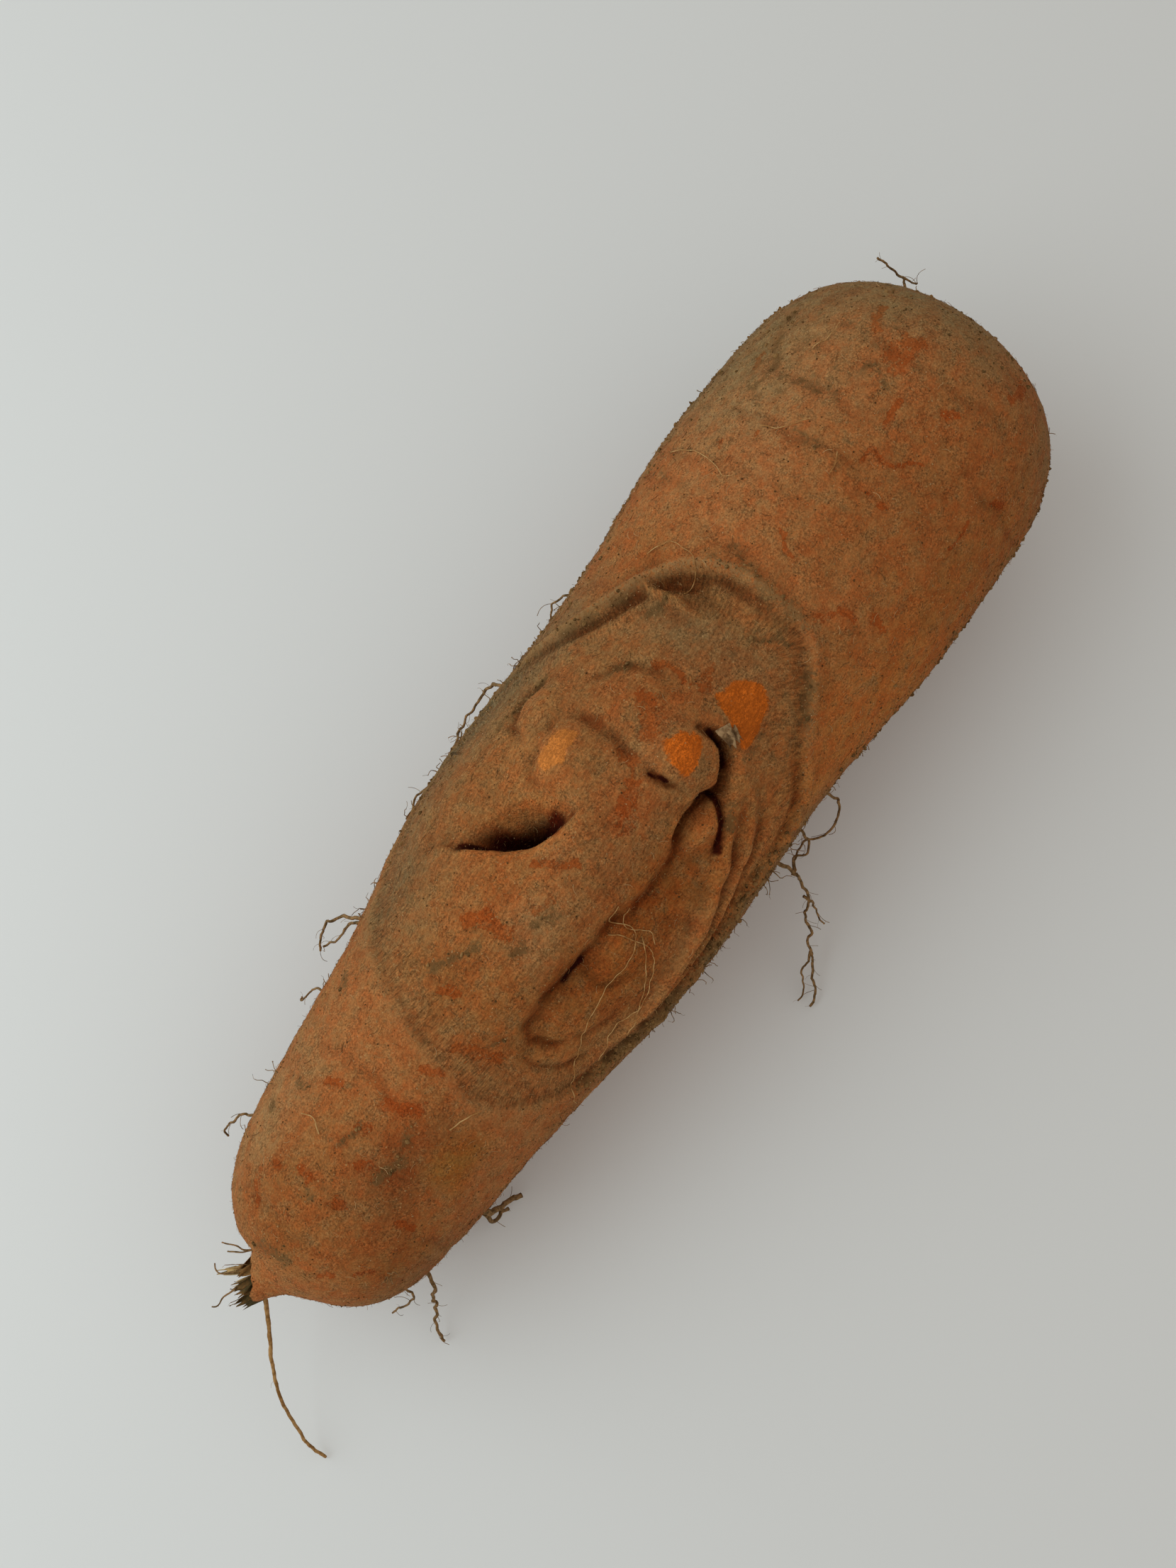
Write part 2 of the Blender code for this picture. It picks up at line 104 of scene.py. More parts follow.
# Lobes, knobs and pits: centre (x, w), half sizes along x and w, height.
SWELLINGS = {
    "long lobe": ((-25, -5), (24, 6), 2.1),
    "cheek": ((-30, 6), (12, 9), 0.9),
    "hump by the slit": ((-23, 23), (9, 7), 1.3),
    "slope into the slit": ((-18, 12), (6, 5), -2.2),
    "mouth pit": ((-17.4, 8.4), (4.2, 3.4), -4.0),
    "lip of the slit": ((-13.5, -0.2), (4.5, 3.0), 0.9),
    "middle knob": ((-5, 9), (5.5, 5), 2.1),
    "bare knob": ((5.5, -5), (6, 5.5), 3.0),
    "knob above the bare knob": ((9, 4), (4.5, 5), 0.9),
    "upper knob": ((0.5, 18), (5, 3.5), 1.3),
    "pit below the upper knob": ((-1.5, 14), (2.4, 1.3), -0.7),
    "knob in the hollow": ((-23, -16.5), (5, 4.5), 2.0),
    "lower knob in the hollow": ((-38, -20), (4.5, 4.5), 1.0),
    "dark end of the hollow": ((-32, -13), (4.5, 2.8), -1.0),
    "pocket lobe": ((-1.5, -15.8), (4.2, 2.2), 2.4),
    "plate towards the crown": ((20, 3), (9, 14), -0.5),
    "crescent by the crown": ((29.6, 8), (1.9, 7), -1.3),
    "dent in the lobe": ((-31, -3), (3.5, 2.4), -0.6),
}

# Grooves and ridges: the line, its depth, its width on the left and right of the run.
FOLDS = {
    "long slit": (
        ((-26, 16.8), (-23.7, 13.4), (-20.6, 10.2), (-18.3, 7), (-15.8, 4.6), (-12.4, 3)), 3.2, 3.2, 0.9,
    ),
    "mouth of the slit": (((-22, 12.8), (-19.4, 9.6), (-16.8, 6.6), (-13.9, 4.2)), 5.4, 2.6, 1.7),
    "slit under the bare knob": (
        ((11.2, -5.6), (11.7, -8.8), (10.6, -11.3), (8.6, -12.9), (6, -13.6), (3, -12.4), (0, -11)),
        3.8, 1.2, 0.8,
    ),
    "fold above the bare knob": (((7, 13.5), (10, 12), (13, 10), (14.8, 6), (15, 1)), 0.6, 0.9, 1.3),
    "ridge by the crown": (((26.2, 17), (26.3, 11), (26.1, 5)), -1.5, 0.75, 0.8),
    "lower lip": (
        ((-40, -28.6), (-30, -29.4), (-20, -28.8), (-10, -26.4), (-3, -22.6), (3, -18.6)), -1.2, 1.2, 1.4,
    ),
    "outer lip": (((-34, -32), (-22, -32), (-10, -30), (0, -26), (7, -20.6), (11, -13)), -0.8, 0.9, 1.0),
    "line between the lips": (
        ((-38, -30.4), (-24, -31), (-11, -28.6), (-2, -24.6), (5, -19.4)), 0.8, 0.7, 0.7,
    ),
    "line below the lips": (((9, -23), (2, -28), (-6, -31.4), (-14, -33)), 0.8, 0.8, 0.8),
    "end of the hollow": (((-43.4, -14.6), (-42.4, -19), (-40.6, -22)), 0.9, 0.8, 0.8),
    "outer end of the hollow": (((-45.5, -12), (-46, -18), (-43.5, -24.5), (-39, -28)), 0.8, 0.8, 1.0),
    "crescent under the knob": (
        ((-28.6, -13), (-30.2, -16.6), (-29, -20.4), (-25.4, -22.4)), 0.7, 1.4, 1.2,
    ),
    "round the middle knob": (((-10.5, 5), (-11.2, 9), (-8.6, 13), (-4, 14.6)), 0.8, 1.4, 1.2),
    "round the upper knob": (((-6, 17), (-4, 21.4), (1, 22.8), (6, 20)), 0.8, 1.0, 1.0),
    "between the knobs": (((1.5, 13), (2.4, 8), (1.6, 3), (0.6, -1.6)), 0.8, 1.3, 1.3),
    "pit beside the bare knob": (((0.4, -2.4), (0.3, -5), (1.6, -7.6)), 1.3, 0.8, 0.8),
    "inner line of the hollow": (((-41, -16), (-39.6, -21), (-36, -24.6), (-30, -25.4)), 0.5, 0.7, 0.7),
    "pocket line": (((4.8, -14.4), (3.2, -17), (0.4, -19.2), (-3, -20.6)), 1.2, 0.8, 0.8),
    "pleat on the hump": (((-31, 19), (-26, 22), (-20, 24.6)), 0.4, 1.0, 1.0),
}

# Creases across the skin: x, middle w, half length round the root.
CREASES = (
    (-90, 10, 16), (-79, -40, 20), (-70, 60, 22), (-63.5, 8, 12), (37.5, 6, 12), (44.5, 27, 10),
    (49.5, 17, 14), (53, -55, 22), (59.5, 10, 14), (67.5, 14, 12), (71, -30, 16), (74, 62, 20),
    (80, -4, 18), (86, 34, 14), (12, 74, 18), (-20, -70, 20), (-44, 66, 16),
)
CREASE_DEPTH = 0.27
CREASE_WIDTH = 1.0

# The torn neck: its axis, its radius along the axis, and the slope of its torn face.
NECK_START = np.array([-90.0, -1.5, 27.0])
NECK_RUN = np.array([-14.0, 5.1, -1.0])
NECK_WAY = (0.0, 6.2, 7.8, 9.8, 12.2, 14.6, 15.2)
NECK_RADII = (10.5, 8.2, 6.7, 4.9, 3.9, 3.2, 0.6)
SHOULDER = (2.6, 5.6, 1.5)
POLE_SHIFT = np.array([0.0, 2.3, 1.6])
TORN_SIDE = np.array([0.335, 0.937, 0.097])
TORN_SLOPE = -0.69
TORN_HEIGHT = 12.9
NECK_FROM = -84.0
NECK_BLEND = 0.45

DIP_RADII = (6.5, 10.5)
DIP_DEPTH = 4.0


def smooth_line(points, steps=8, closed=False):
    """A smooth curve through the points, as more points."""
    knots = np.array(points, float)
    if closed:
        knots = np.vstack([knots[-1:], knots, knots[:2]])
    else:
        knots = np.vstack([2 * knots[:1] - knots[1:2], knots, 2 * knots[-1:] - knots[-2:-1]])
    t = np.linspace(0, 1, steps, endpoint=False)[:, None]
    spans = []
    for a, b, c, d in zip(knots, knots[1:], knots[2:], knots[3:]):
        spans.append(b + 0.5 * t * (c - a + t * (2 * a - 5 * b + 4 * c - d + t * (3 * b - a - 3 * c + d))))
    if not closed:
        spans.append(knots[-2:-1])
    return np.vstack(spans)


def smooth_step(value, low, high):
    """0 below low, 1 above high, and smooth between."""
    share = np.clip((value - low) / (high - low), 0, 1)
    return share * share * (3 - 2 * share)


def line_distance(places, line):
    """How far each place is from a line, plus on the left of its run, and how far along it is."""
    best = np.full(len(places), 1e9)
    along = np.zeros(len(places))
    side = np.ones(len(places))
    for number, (start, end) in enumerate(zip(line, line[1:])):
        run = end - start
        gap = places - start
        share = np.clip(gap @ run / max(run @ run, 1e-9), 0, 1)
        off = np.linalg.norm(gap - share[:, None] * run, axis=1)
        nearer = off < best
        best[nearer] = off[nearer]
        along[nearer] = number + share[nearer]
        side[nearer] = np.where(run[0] * gap[nearer, 1] < run[1] * gap[nearer, 0], -1, 1)
    return best * side, along / (len(line) - 1)


def end_rounding(way_in, rounding):
    """How much of the full radius is left at a way in from a rounded end."""
    length, power = rounding
    share = np.clip(1 - way_in / length, 0, 1)
    return (1 - share ** power) ** (1 / power)


def radius_at(x):
    stations = [(i * RADIUS_STEP - HALF_LENGTH, radius) for i, radius in enumerate(RADII)]
    profile = smooth_line(stations, 10)
    full = np.interp(x, profile[:, 0], profile[:, 1])
    full = full * end_rounding(x + HALF_LENGTH, SMALL_END_ROUNDING)
    return full * end_rounding(HALF_LENGTH - x, CROWN_ROUNDING)


def skin_points(x, w, lift=0.0):
    """Points in space, in the root's own frame, for places on the skin lifted off it."""
    reach = radius_at(x) + lift
    y = AXIS_BEND * (x / HALF_LENGTH) ** 2 + reach * np.sin(w / SKIN_UNIT)
    z = AXIS_HEIGHT + AXIS_RISE * x + reach * np.cos(w / SKIN_UNIT)
    return np.stack([x, y, z], axis=-1)


def roughness_at(points, size, seed):
    """Smooth seeded noise from -1 to 1 at each point, with lumps of about the given size."""
    shift = Vector((seed * 7.3, seed * 3.1, seed * 5.7))
    return np.array([noise.noise(Vector(point) / size + shift) for point in points])


def fold_relief(places, line, depth, left_width, right_width):
    """A groove along a line, or a ridge where the depth is negative. It fades at both ends."""
    distance, along = line_distance(places, smooth_line(line, 5))
    width = np.where(distance > 0, left_width, right_width)
    fade = 0.3 + 0.7 * smooth_step(np.minimum(along, 1 - along), 0, 0.25)
    return -depth * fade * np.exp(-(np.abs(distance) / width) ** 2.2)


def hollow_relief(places):
    """The basin below the long lobe: a steep wall under the lobe, then a slope up to the lip."""
    upper, _ = line_distance(places, smooth_line(HOLLOW_UPPER_EDGE))
    lower, _ = line_distance(places, smooth_line(HOLLOW_LOWER_EDGE))
    below = np.clip(-upper, 0, None)
    above = np.clip(lower, 0, None)
    slope = above / np.maximum(below + above, 0.01)
    middle, half = SOFT_SPAN
    wall = np.where(places[:, 0] < middle, FAR_WALL, HOLLOW_WALL)
    wall = wall + (SOFT_WALL - wall) * np.exp(-((places[:, 0] - middle) / half) ** 4)
    share, far, near = HOLLOW_SHALLOWS
    depth = HOLLOW_DEPTH * (share + (1 - share) * smooth_step(places[:, 0], far, near))
    return -depth * smooth_step(below / wall, 0, 1) * slope ** 0.8


def rim_relief(places, inside, ragged):
    """The wound's rim: a lip and a valley by the crown, a crust below, a fine step elsewhere."""
    by_crown = smooth_step(places[:, 0], 2, 20) * (0.3 + 0.7 * smooth_step(places[:, 1], -6, 5))
    below = smooth_step(-places[:, 1], 22, 31) * smooth_step(places[:, 0], -56, -42)
    lip = (0.14 + 0.8 * by_crown + 0.45 * below) * np.exp(-((inside + 0.5) / (0.65 + 0.3 * by_crown)) ** 2)
    valley = -(1.25 * by_crown + 0.4 * below) * np.exp(-((inside - 1.9) / 1.6) ** 2)
    frill = 1.0 * below * ragged * np.exp(-((inside + 0.2) / 2.2) ** 2)
    return lip + valley + frill - 0.4 * smooth_step(inside, -0.3, 1.6)


def root_relief(places, points, inside):
    """How far the skin stands out from the plain body."""
    x, w = places.T
    relief = 0.25 * np.sin(x / 8.5 + 1) * np.cos(w / 11 + x / 30)
    for crease_x, crease_w, half_length in CREASES:
        wander = crease_x + 0.7 * np.sin(w / 5.0 + crease_x) + 0.5 * np.sin(w / 1.7 + 2 * crease_x)
        across = np.exp(-((x - wander) / CREASE_WIDTH) ** 2)
        relief -= CREASE_DEPTH * across * np.exp(-((w - crease_w) / half_length) ** 4)
    relief += rim_relief(places, inside, roughness_at(points, 2.2, 5))
    bent = np.stack([roughness_at(points, 4.0, 6), roughness_at(points, 4.0, 7)], axis=1)
    places = places + 0.8 * bent
    relief += hollow_relief(places)
    for (centre_x, centre_w), (half_x, half_w), height in SWELLINGS.values():
        relief += height * np.exp(-((x - centre_x) / half_x) ** 2 - ((w - centre_w) / half_w) ** 2)
    for line, depth, left_width, right_width in FOLDS.values():
        relief += fold_relief(places, line, depth, left_width, right_width)
    relief += 0.18 * roughness_at(points, 5.0, 1) + 0.12 * roughness_at(points, 2.1, 2)
    relief += 0.09 * roughness_at(points, 1.1, 3)
    return relief * smooth_step(HALF_LENGTH - np.abs(x), 0, 12)


def add_neck(points):
    """Draws the small end out along the neck, with a torn, hollow face at its end."""
    length = np.linalg.norm(NECK_RUN)
    axis = NECK_RUN / length
    gap = points - NECK_START
    way = gap @ axis
    off = gap - way[:, None] * axis
    reach = np.linalg.norm(off, axis=1)
    ragged = roughness_at(points, 1.3, 8)
    neck = np.interp(reach, NECK_RADII[::-1], NECK_WAY[::-1])
    face = TORN_HEIGHT + TORN_SLOPE * (off @ TORN_SIDE) + 0.7 * ragged
    cup = 2.2 * smooth_step(3.2 - reach, 0, 1.6)
    neck = np.minimum(neck, face) - cup
    depth, middle, width = SHOULDER
    upper = smooth_step((off @ TORN_SIDE) / np.maximum(reach, 0.1), -0.4, 0.5) * (points[:, 0] < NECK_FROM)
    body = way - depth * upper * np.exp(-((reach - middle) / width) ** 2)
    near = (points[:, 0] < NECK_FROM) & (reach < NECK_RADII[0])
    joined = np.where(near, np.logaddexp(body / NECK_BLEND, neck / NECK_BLEND) * NECK_BLEND, body)
    return points + (joined - way)[:, None] * axis


def ring_places():
    """The x of each ring along the skin, closer over the wound, the neck and the dip."""
    x = HALF_LENGTH * np.cos(np.linspace(0, np.pi, 4001))
    reach = radius_at(x)
    run = np.hypot(np.diff(x), np.diff(reach))
    middle = (x[1:] + x[:-1]) / 2
    width = (reach[1:] + reach[:-1]) / 2
    closeness = np.ones(len(middle))
    closeness[(middle > WOUND_SPAN[0]) & (middle < WOUND_SPAN[1])] = CLOSER_OVER_WOUND
    closeness[(middle < 0) & (width < 9.5)] = CLOSER_ON_NECK
    way = np.concatenate([[0], np.cumsum(run * closeness)])
    return np.interp(np.linspace(0, way[-1], ROOT_RINGS + 1), way, x)


rings = ring_places()
turns = np.linspace(0, 2 * np.pi, ROOT_SIDES, endpoint=False)
turns = turns - DENSE_SIDES * np.sin(turns)
turns = (turns + np.pi) % (2 * np.pi) - np.pi
ring_x = np.concatenate([rings[:1], np.repeat(rings[1:-1], ROOT_SIDES), rings[-1:]])
ring_w = np.concatenate([[0], np.tile(turns, ROOT_RINGS - 1), [0]]) * SKIN_UNIT
places = np.stack([ring_x, ring_w], axis=1)
plain = skin_points(ring_x, ring_w)
outline = smooth_line(WOUND_OUTLINE, closed=True)
outline = np.vstack([outline, outline[:1]])
outline_lengths = np.concatenate([[0], np.cumsum(np.linalg.norm(np.diff(outline, axis=0), axis=1))])
from_rim, rim_share = line_distance(places, outline)
along_rim = np.interp(rim_share * (len(outline) - 1), np.arange(len(outline)), outline_lengths)
relief = root_relief(places, plain, from_rim)
points = skin_points(ring_x, ring_w, relief)
reach = radius_at(ring_x)
points[:, 0] -= DIP_DEPTH * (ring_x > 0) * (1 - smooth_step(reach, *DIP_RADII))
points += POLE_SHIFT * ((ring_x < 0) * (1 - smooth_step(reach, 0, 14)))[:, None]
points = add_neck(points)
points[:, 2] = np.maximum(points[:, 2], 0)

faces = []
last = len(points) - 1
for side in range(ROOT_SIDES):
    after = (side + 1) % ROOT_SIDES
    faces.append((0, 1 + side, 1 + after))
    faces.append((last, last - ROOT_SIDES + after, last - ROOT_SIDES + side))
    for ring in range(ROOT_RINGS - 2):
        low = 1 + ring * ROOT_SIDES
        high = low + ROOT_SIDES
        faces.append((low + side, high + side, high + after, low + after))
root_mesh = bpy.data.meshes.new("root_skin")
root_mesh.from_pydata(((points + MIDDLE) * MM).tolist(), [], faces)
shape = bmesh.new()
shape.from_mesh(root_mesh)
bmesh.ops.recalc_face_normals(shape, faces=shape.faces)
shape.to_mesh(root_mesh)
shape.free()
root_mesh.shade_smooth()
root_skin = bpy.data.objects.new("root_skin", root_mesh)
bpy.context.scene.collection.objects.link(root_skin)

# The root's colours. The skin is thin and orange-brown under a film of dried soil. Where the
# film or the skin is rubbed off, orange flesh shows. Each colour is spread over named areas.
SKIN_TONES = {
    "smooth skin": (0.335, 0.108, 0.026),
    "light skin": (0.410, 0.152, 0.045),
    "low skin": (0.470, 0.142, 0.026),
    "edge soil": (0.170, 0.104, 0.040),
    "olive soil": (0.335, 0.170, 0.060),
    "crown soil": (0.232, 0.142, 0.052),
    "purple soil": (0.225, 0.064, 0.015),
    "yellow skin": (0.290, 0.100, 0.014),
    "dark skin": (0.215, 0.066, 0.013),
    "wound plate": (0.300, 0.114, 0.031),
    "wound cheek": (0.400, 0.132, 0.031),
    "wound floor": (0.310, 0.082, 0.013),
    # A darker tone painted into the hollow's dark end as shade.
    "painted hollow shade": (0.180, 0.040, 0.004),
    "blush": (0.360, 0.092, 0.018),
}
# Each area: colour, strength, then (x, w, half size along x, half size along w).
SKIN_AREAS = (
    ("light skin", 0.3, (-58, 14, 9, 16)), ("dark skin", 0.45, (-90, 10, 10, 20)),
    ("light skin", 0.5, (-60, -24, 12, 14)), ("light skin", 0.7, (52, 16, 13, 14)),
    ("low skin", 0.8, (36, -34, 40, 14)), ("low skin", 0.6, (-30, -48, 40, 12)),
    ("olive soil", 0.8, (70, 24, 15, 16)), ("crown soil", 0.5, (72, 30, 16, 12)),
    ("crown soil", 0.85, (94, 10, 12, 26)), ("crown soil", 0.5, (88, 50, 16, 30)),
    ("olive soil", 0.5, (-76, 26, 14, 12)), ("purple soil", 0.95, (-72, -9, 10, 9)),
    ("edge soil", 0.35, (-16, -5, 16, 5)), ("yellow skin", 0.7, (-66, -18, 5, 5)),
    ("dark skin", 0.45, (66, -32, 24, 12)), ("dark skin", 0.45, (-84, -24, 8, 8)),
    ("wound cheek", 0.7, (-27, 5, 14, 10)), ("wound cheek", 0.6, (-10, 12, 10, 12)),
    ("smooth skin", 0.6, (-20, -5, 26, 5)), ("wound floor", 0.85, (-20, -18, 24, 8)),
    # Next: painted shade darkening the recess at the hollow's dark end.
    ("painted hollow shade", 0.6, (-34, -12.5, 5, 3.2)), ("light skin", 0.4, (-36, -31, 14, 3)),
    ("olive soil", 0.35, (-30, -3, 6, 4)), ("wound cheek", 0.4, (12, 2, 5, 8)),
    # The dark skin at (29, 8) is painted shade in the crescent trench by the crown.
    ("wound floor", 0.5, (-44, -2, 7, 14)), ("dark skin", 0.5, (29, 8, 3, 9)),
    ("edge soil", 0.9, (-4, 36, 24, 9)), ("edge soil", 0.8, (26, 42, 18, 7)),
    ("edge soil", 0.95, (-20, -38, 28, 3.8)), ("edge soil", 0.75, (66, 40, 22, 9)),
    ("edge soil", 0.6, (12, -40, 14, 5)), ("light skin", 0.3, (-12, -28, 22, 3)),
    ("edge soil", 0.55, (-36, 26, 14, 9)), ("edge soil", 0.5, (12, 27, 14, 6)),
    ("edge soil", 0.45, (90, -30, 10, 8)), ("edge soil", 0.6, (82, -44, 16, 6)),
    ("edge soil", 0.4, (-84, -34, 12, 6)), ("edge soil", 0.4, (24, 4, 5, 12)),
    ("blush", 0.5, (-29, 5, 5, 4)), ("blush", 0.45, (-6, -3, 5, 5)), ("blush", 0.5, (6, 7.5, 6, 3)),
    ("blush", 0.6, (12, 0.5, 5, 4)), ("blush", 0.4, (-21, 10.5, 3, 3)),
    ("wound cheek", 0.5, (-1.5, -15, 4, 2.5)), ("blush", 0.35, (-64, -3, 5, 6)),
    ("blush", 0.2, (-88, 2, 6, 8)), ("blush", 0.2, (76, -8, 10, 8)),
    ("light skin", 0.5, (-99, 0, 5, 40)), ("light skin", 0.35, (78, 8, 12, 14)),
    ("light skin", 0.3, (40, 6, 5, 20)),
)
# The three clean patches of flesh in the wound: how light each is, and its outline.
FLESH_PATCHES = (
    (0.62, (
        (17.1, -3.8), (15.6, -7), (13.8, -11.1), (13.6, -13.8), (18.9, -13.3), (22, -11.5),
        (23, -7.8), (21.3, -5.7), (18.2, -4.6),
    )),
    (0.5, ((2.9, -4.9), (3.7, -8.1), (7.6, -8.2), (9.9, -6), (8.3, -3.3), (6, -1.8))),
    (1.0, ((-7.2, 11.8), (-8.8, 9.8), (-6.2, 8.3), (-3.3, 8.2), (-0.6, 9.1), (-2.4, 12.3))),
)
# Where flesh shows through the worn film: half width, then the line of the place.
WORN_PLACES = (
    (1.0, ((16.5, 0.7), (17.1, 3.4), (15.8, 6))), (1.3, ((17, -2.2), (20, -1.5))),
    (2.2, ((9.9, 3.4), (8.6, 1.4), (6, 0.6))), (1.7, ((-2.4, -2.2), (-6, -3.2), (-8.4, -5))),
    (1.2, ((1.2, 2), (0.4, -1.2))), (1.5, ((-34.5, 7), (-32.6, 3.8), (-33.1, 0.6))),
    (1.0, ((-21.3, 3), (-18, -2.4))), (1.9, ((78, 4), (82, 3.6))), (1.0, ((76, 2.2), (83.5, 1.8))),
    (1.0, ((81, 9), (86, 10.4))), (0.8, ((68.5, 22.8), (71, 23.8))), (0.7, ((52, 18.2), (53, 18.9))),
    (0.7, ((56, 14), (57, 14.2))), (0.6, ((41.5, -1.5), (43, 0.2), (44, 2))),
    (0.7, ((68, -1.4), (72.6, -0.7))), (0.6, ((61, -1.5), (64, -2))),
    (0.5, ((64, -2), (62.5, -4.5), (64.5, -7), (67, -9))), (0.9, ((75.4, -6.6), (76.4, -8.8))),
    (0.5, ((57, -5), (57, -8))), (1.1, ((86, -15.6), (90, -16.8))), (1.0, ((71, -22), (72.6, -24))),
    (0.5, ((60, -20.5), (66, -20.4))), (0.9, ((40, -12), (40.4, -14.6))),
    (1.0, ((43, -17), (43, -19.2))), (1.1, ((-81.4, 5.6), (-80.8, 9.2))),
    (0.8, ((-89, 5), (-88.6, 6.4))), (1.1, ((-82, -1.6), (-82, -4.2))),
    (1.0, ((-67.8, 14.4), (-66.6, 10.6))), (0.8, ((-83, 13), (-82.6, 16))),
    (1.5, ((-65.4, 0.6), (-63.8, -2), (-62.8, -5))), (0.9, ((-57.6, -1), (-55.6, -5))),
    (0.9, ((-79, -15.4), (-78.6, -19.6))), (1.0, ((-93, -10.4), (-92.4, -12.8))),
    (0.9, ((-89.6, -17), (-88.4, -19.8))), (1.5, ((-90, 16), (-86.4, 19))),
    (1.1, ((-76, -1), (-74, -3.6))), (1.0, ((-46, 5), (-44.8, 1.6))),
    (0.8, ((-27, -1.2), (-24, -2.6))), (0.9, ((36.5, -9.5), (38.4, -11.4))),
    (1.4, ((-52, -4), (-50, -8), (-49, -12))), (1.5, ((-20, -33), (-12, -32.6))),
    (1.2, ((-71, 3), (-69.4, 1))),
)
# Where soil is caked on: half width, then the line that it follows.
CAKED_PLACES = (
    (0.7, ((37, 2), (37.8, 4.4), (37.4, 7))), (0.7, ((44.4, 24), (45.4, 27), (44.8, 29))),
    (0.6, ((49.6, 20), (51, 25), (50, 28))), (0.6, ((59, 5), (60.2, 7), (59.6, 9))),
    (0.6, ((67, 10), (68, 12.4), (67.6, 14))), (0.7, ((74, 2), (75.4, 5), (74.6, 7))),
    (0.8, ((64, 20), (70, 19.4), (74, 22), (80, 24))), (1.2, ((-95.4, 0), (-95, 8))),
    (1.2, ((-71, 18), (-70.6, 22))), (1.5, ((-55, 23.5), (-53, 26))), (1.0, ((-77, 25), (-76.6, 27))),
    (1.5, ((-29, -2), (-26, -4))), (1.2, ((-35, -2.2), (-32.6, -3.4))), (1.2, ((11, 11), (13, 9.6))),
    (1.2, ((-26, 16), (-23.6, 13.4))), (1.6, ((-95.8, 14), (-94.8, 7.5), (-94.0, 0))),
    (1.9, ((-75, -6), (-71, -8), (-67, -6))), (1.0, ((-48, -8), (-46, -10))),
    (1.2, ((5, -18), (2, -20))), (1.3, ((26, 17), (20, 21), (14, 25.6))), (1.2, ((-6, 24), (6, 22))),
    (1.3, ((23, -20), (29, -15))), (1.8, ((-45, -33), (-22, -36), (2, -35))),
    (1.0, ((34.6, -9), (36, 2), (34.6, 8))), (0.9, ((-83.6, 2.6), (-83.2, 4.6))),
    (1.2, ((-74, 4), (-71, 2.6))), (1.2, ((-44, 8), (-40, 5), (-37, 3))),
    (1.0, ((12, -15), (17, -14.6))), (1.1, ((28, -4), (31, -9))), (1.0, ((22, 12), (27, 11))),
)
# Where painted shade darkens the deepest folds and slits: half width, then the line.
FOLD_SHADE_PLACES = (
    (3.2, ((-21.5, 12.4), (-19, 9.6), (-16.6, 7.0), (-14, 4.8))), (1.3, ((-25.6, 16.2), (-23, 12.8))),
    (1.1, ((11.6, -7), (11.3, -10), (9.4, -12.4), (6.4, -13.6), (3, -12.6))),
    (0.5, ((0.4, -3.4), (0.8, -6))), (1.0, ((4.6, -14.6), (2, -18), (-2, -20.4))),
    (1.0, ((-29, -12.8), (-33, -13))),
)


def stroke_field(places, strokes):
    """1 on the strokes' lines, 0 at their edges and below 0 outside them."""
    field = np.full(len(places), -1.0)
    for half_width, line in strokes:
        distance, _ = line_distance(places, np.array(line, float))
        field = np.maximum(field, 1 - np.abs(distance) / half_width)
    return field


def flesh_fields(places):
    """How bare the clean patches are, how worn the other places, and how light the flesh is."""
    worn = stroke_field(places, WORN_PLACES)
    bare = np.full(len(places), -1.0)
    lightness = np.zeros(len(places))
    for light, corners in FLESH_PATCHES:
        edge = smooth_line(corners, 4, closed=True)
        inside, _ = line_distance(places, np.vstack([edge, edge[:1]]))
        bare = np.maximum(bare, np.clip(inside / 1.4, -1, 1))
        lightness = np.where(inside > -1, light, lightness)
    return bare, worn, lightness


def skin_tone_at(places, inside):
    """The colour of the skin at each place, before its fine mottling."""
    tone = np.array(SKIN_TONES["smooth skin"]) * np.ones((len(places), 1))
    within = smooth_step(inside, -0.4, 0.6)[:, None]
    tone += (np.array(SKIN_TONES["wound plate"]) - tone) * within
    wander = np.stack([roughness_at(plain, 7.0, 11), roughness_at(plain, 7.0, 12)], axis=1)
    wandered = places + 3.0 * wander
    for colour, strength, (x, w, half_x, half_w) in SKIN_AREAS:
        off = ((wandered[:, 0] - x) / half_x) ** 2 + ((wandered[:, 1] - w) / half_w) ** 2
        share = strength * np.exp(-off ** 1.3)
        tone += (np.array(SKIN_TONES[colour]) - tone) * share[:, None]
    return tone


def give_attribute(mesh, name, values):
    mesh.attributes.new(name, "FLOAT", "POINT").data.foreach_set("value", np.asarray(values, np.float32))


# How far the relief lies below its blurred self: darkening there is painted shade with settled soil in
# grooves and hollows.
grid = relief[1:-1].reshape(ROOT_RINGS - 1, ROOT_SIDES)
blurred = grid.copy()
for _ in range(10):
    blurred = (blurred + np.roll(blurred, 1, 1) + np.roll(blurred, -1, 1)) / 3
    blurred[1:-1] = (blurred[:-2] + blurred[1:-1] + blurred[2:]) / 3
groove = np.concatenate([[0], (blurred - grid).ravel(), [0]])
tone = skin_tone_at(places, from_rim)
root_mesh.attributes.new("skin_tone", "FLOAT_COLOR", "POINT").data.foreach_set(
    "color", np.hstack([tone, np.ones((len(tone), 1))]).astype(np.float32).ravel()
)
ragged = np.stack([roughness_at(plain, 2.4, 17), roughness_at(plain, 2.4, 18)], axis=1)
ragged_places = places + 1.1 * ragged
bare, worn, lightness = flesh_fields(places + 0.9 * ragged)
caked = stroke_field(ragged_places, CAKED_PLACES)
wander = roughness_at(plain, 3.0, 21)
above_floor = smooth_step(points[:, 2], 1.0, 2.5)
by_crown = smooth_step(ring_x, -4, 14) * (0.3 + 0.7 * smooth_step(ring_w, -6, 5))
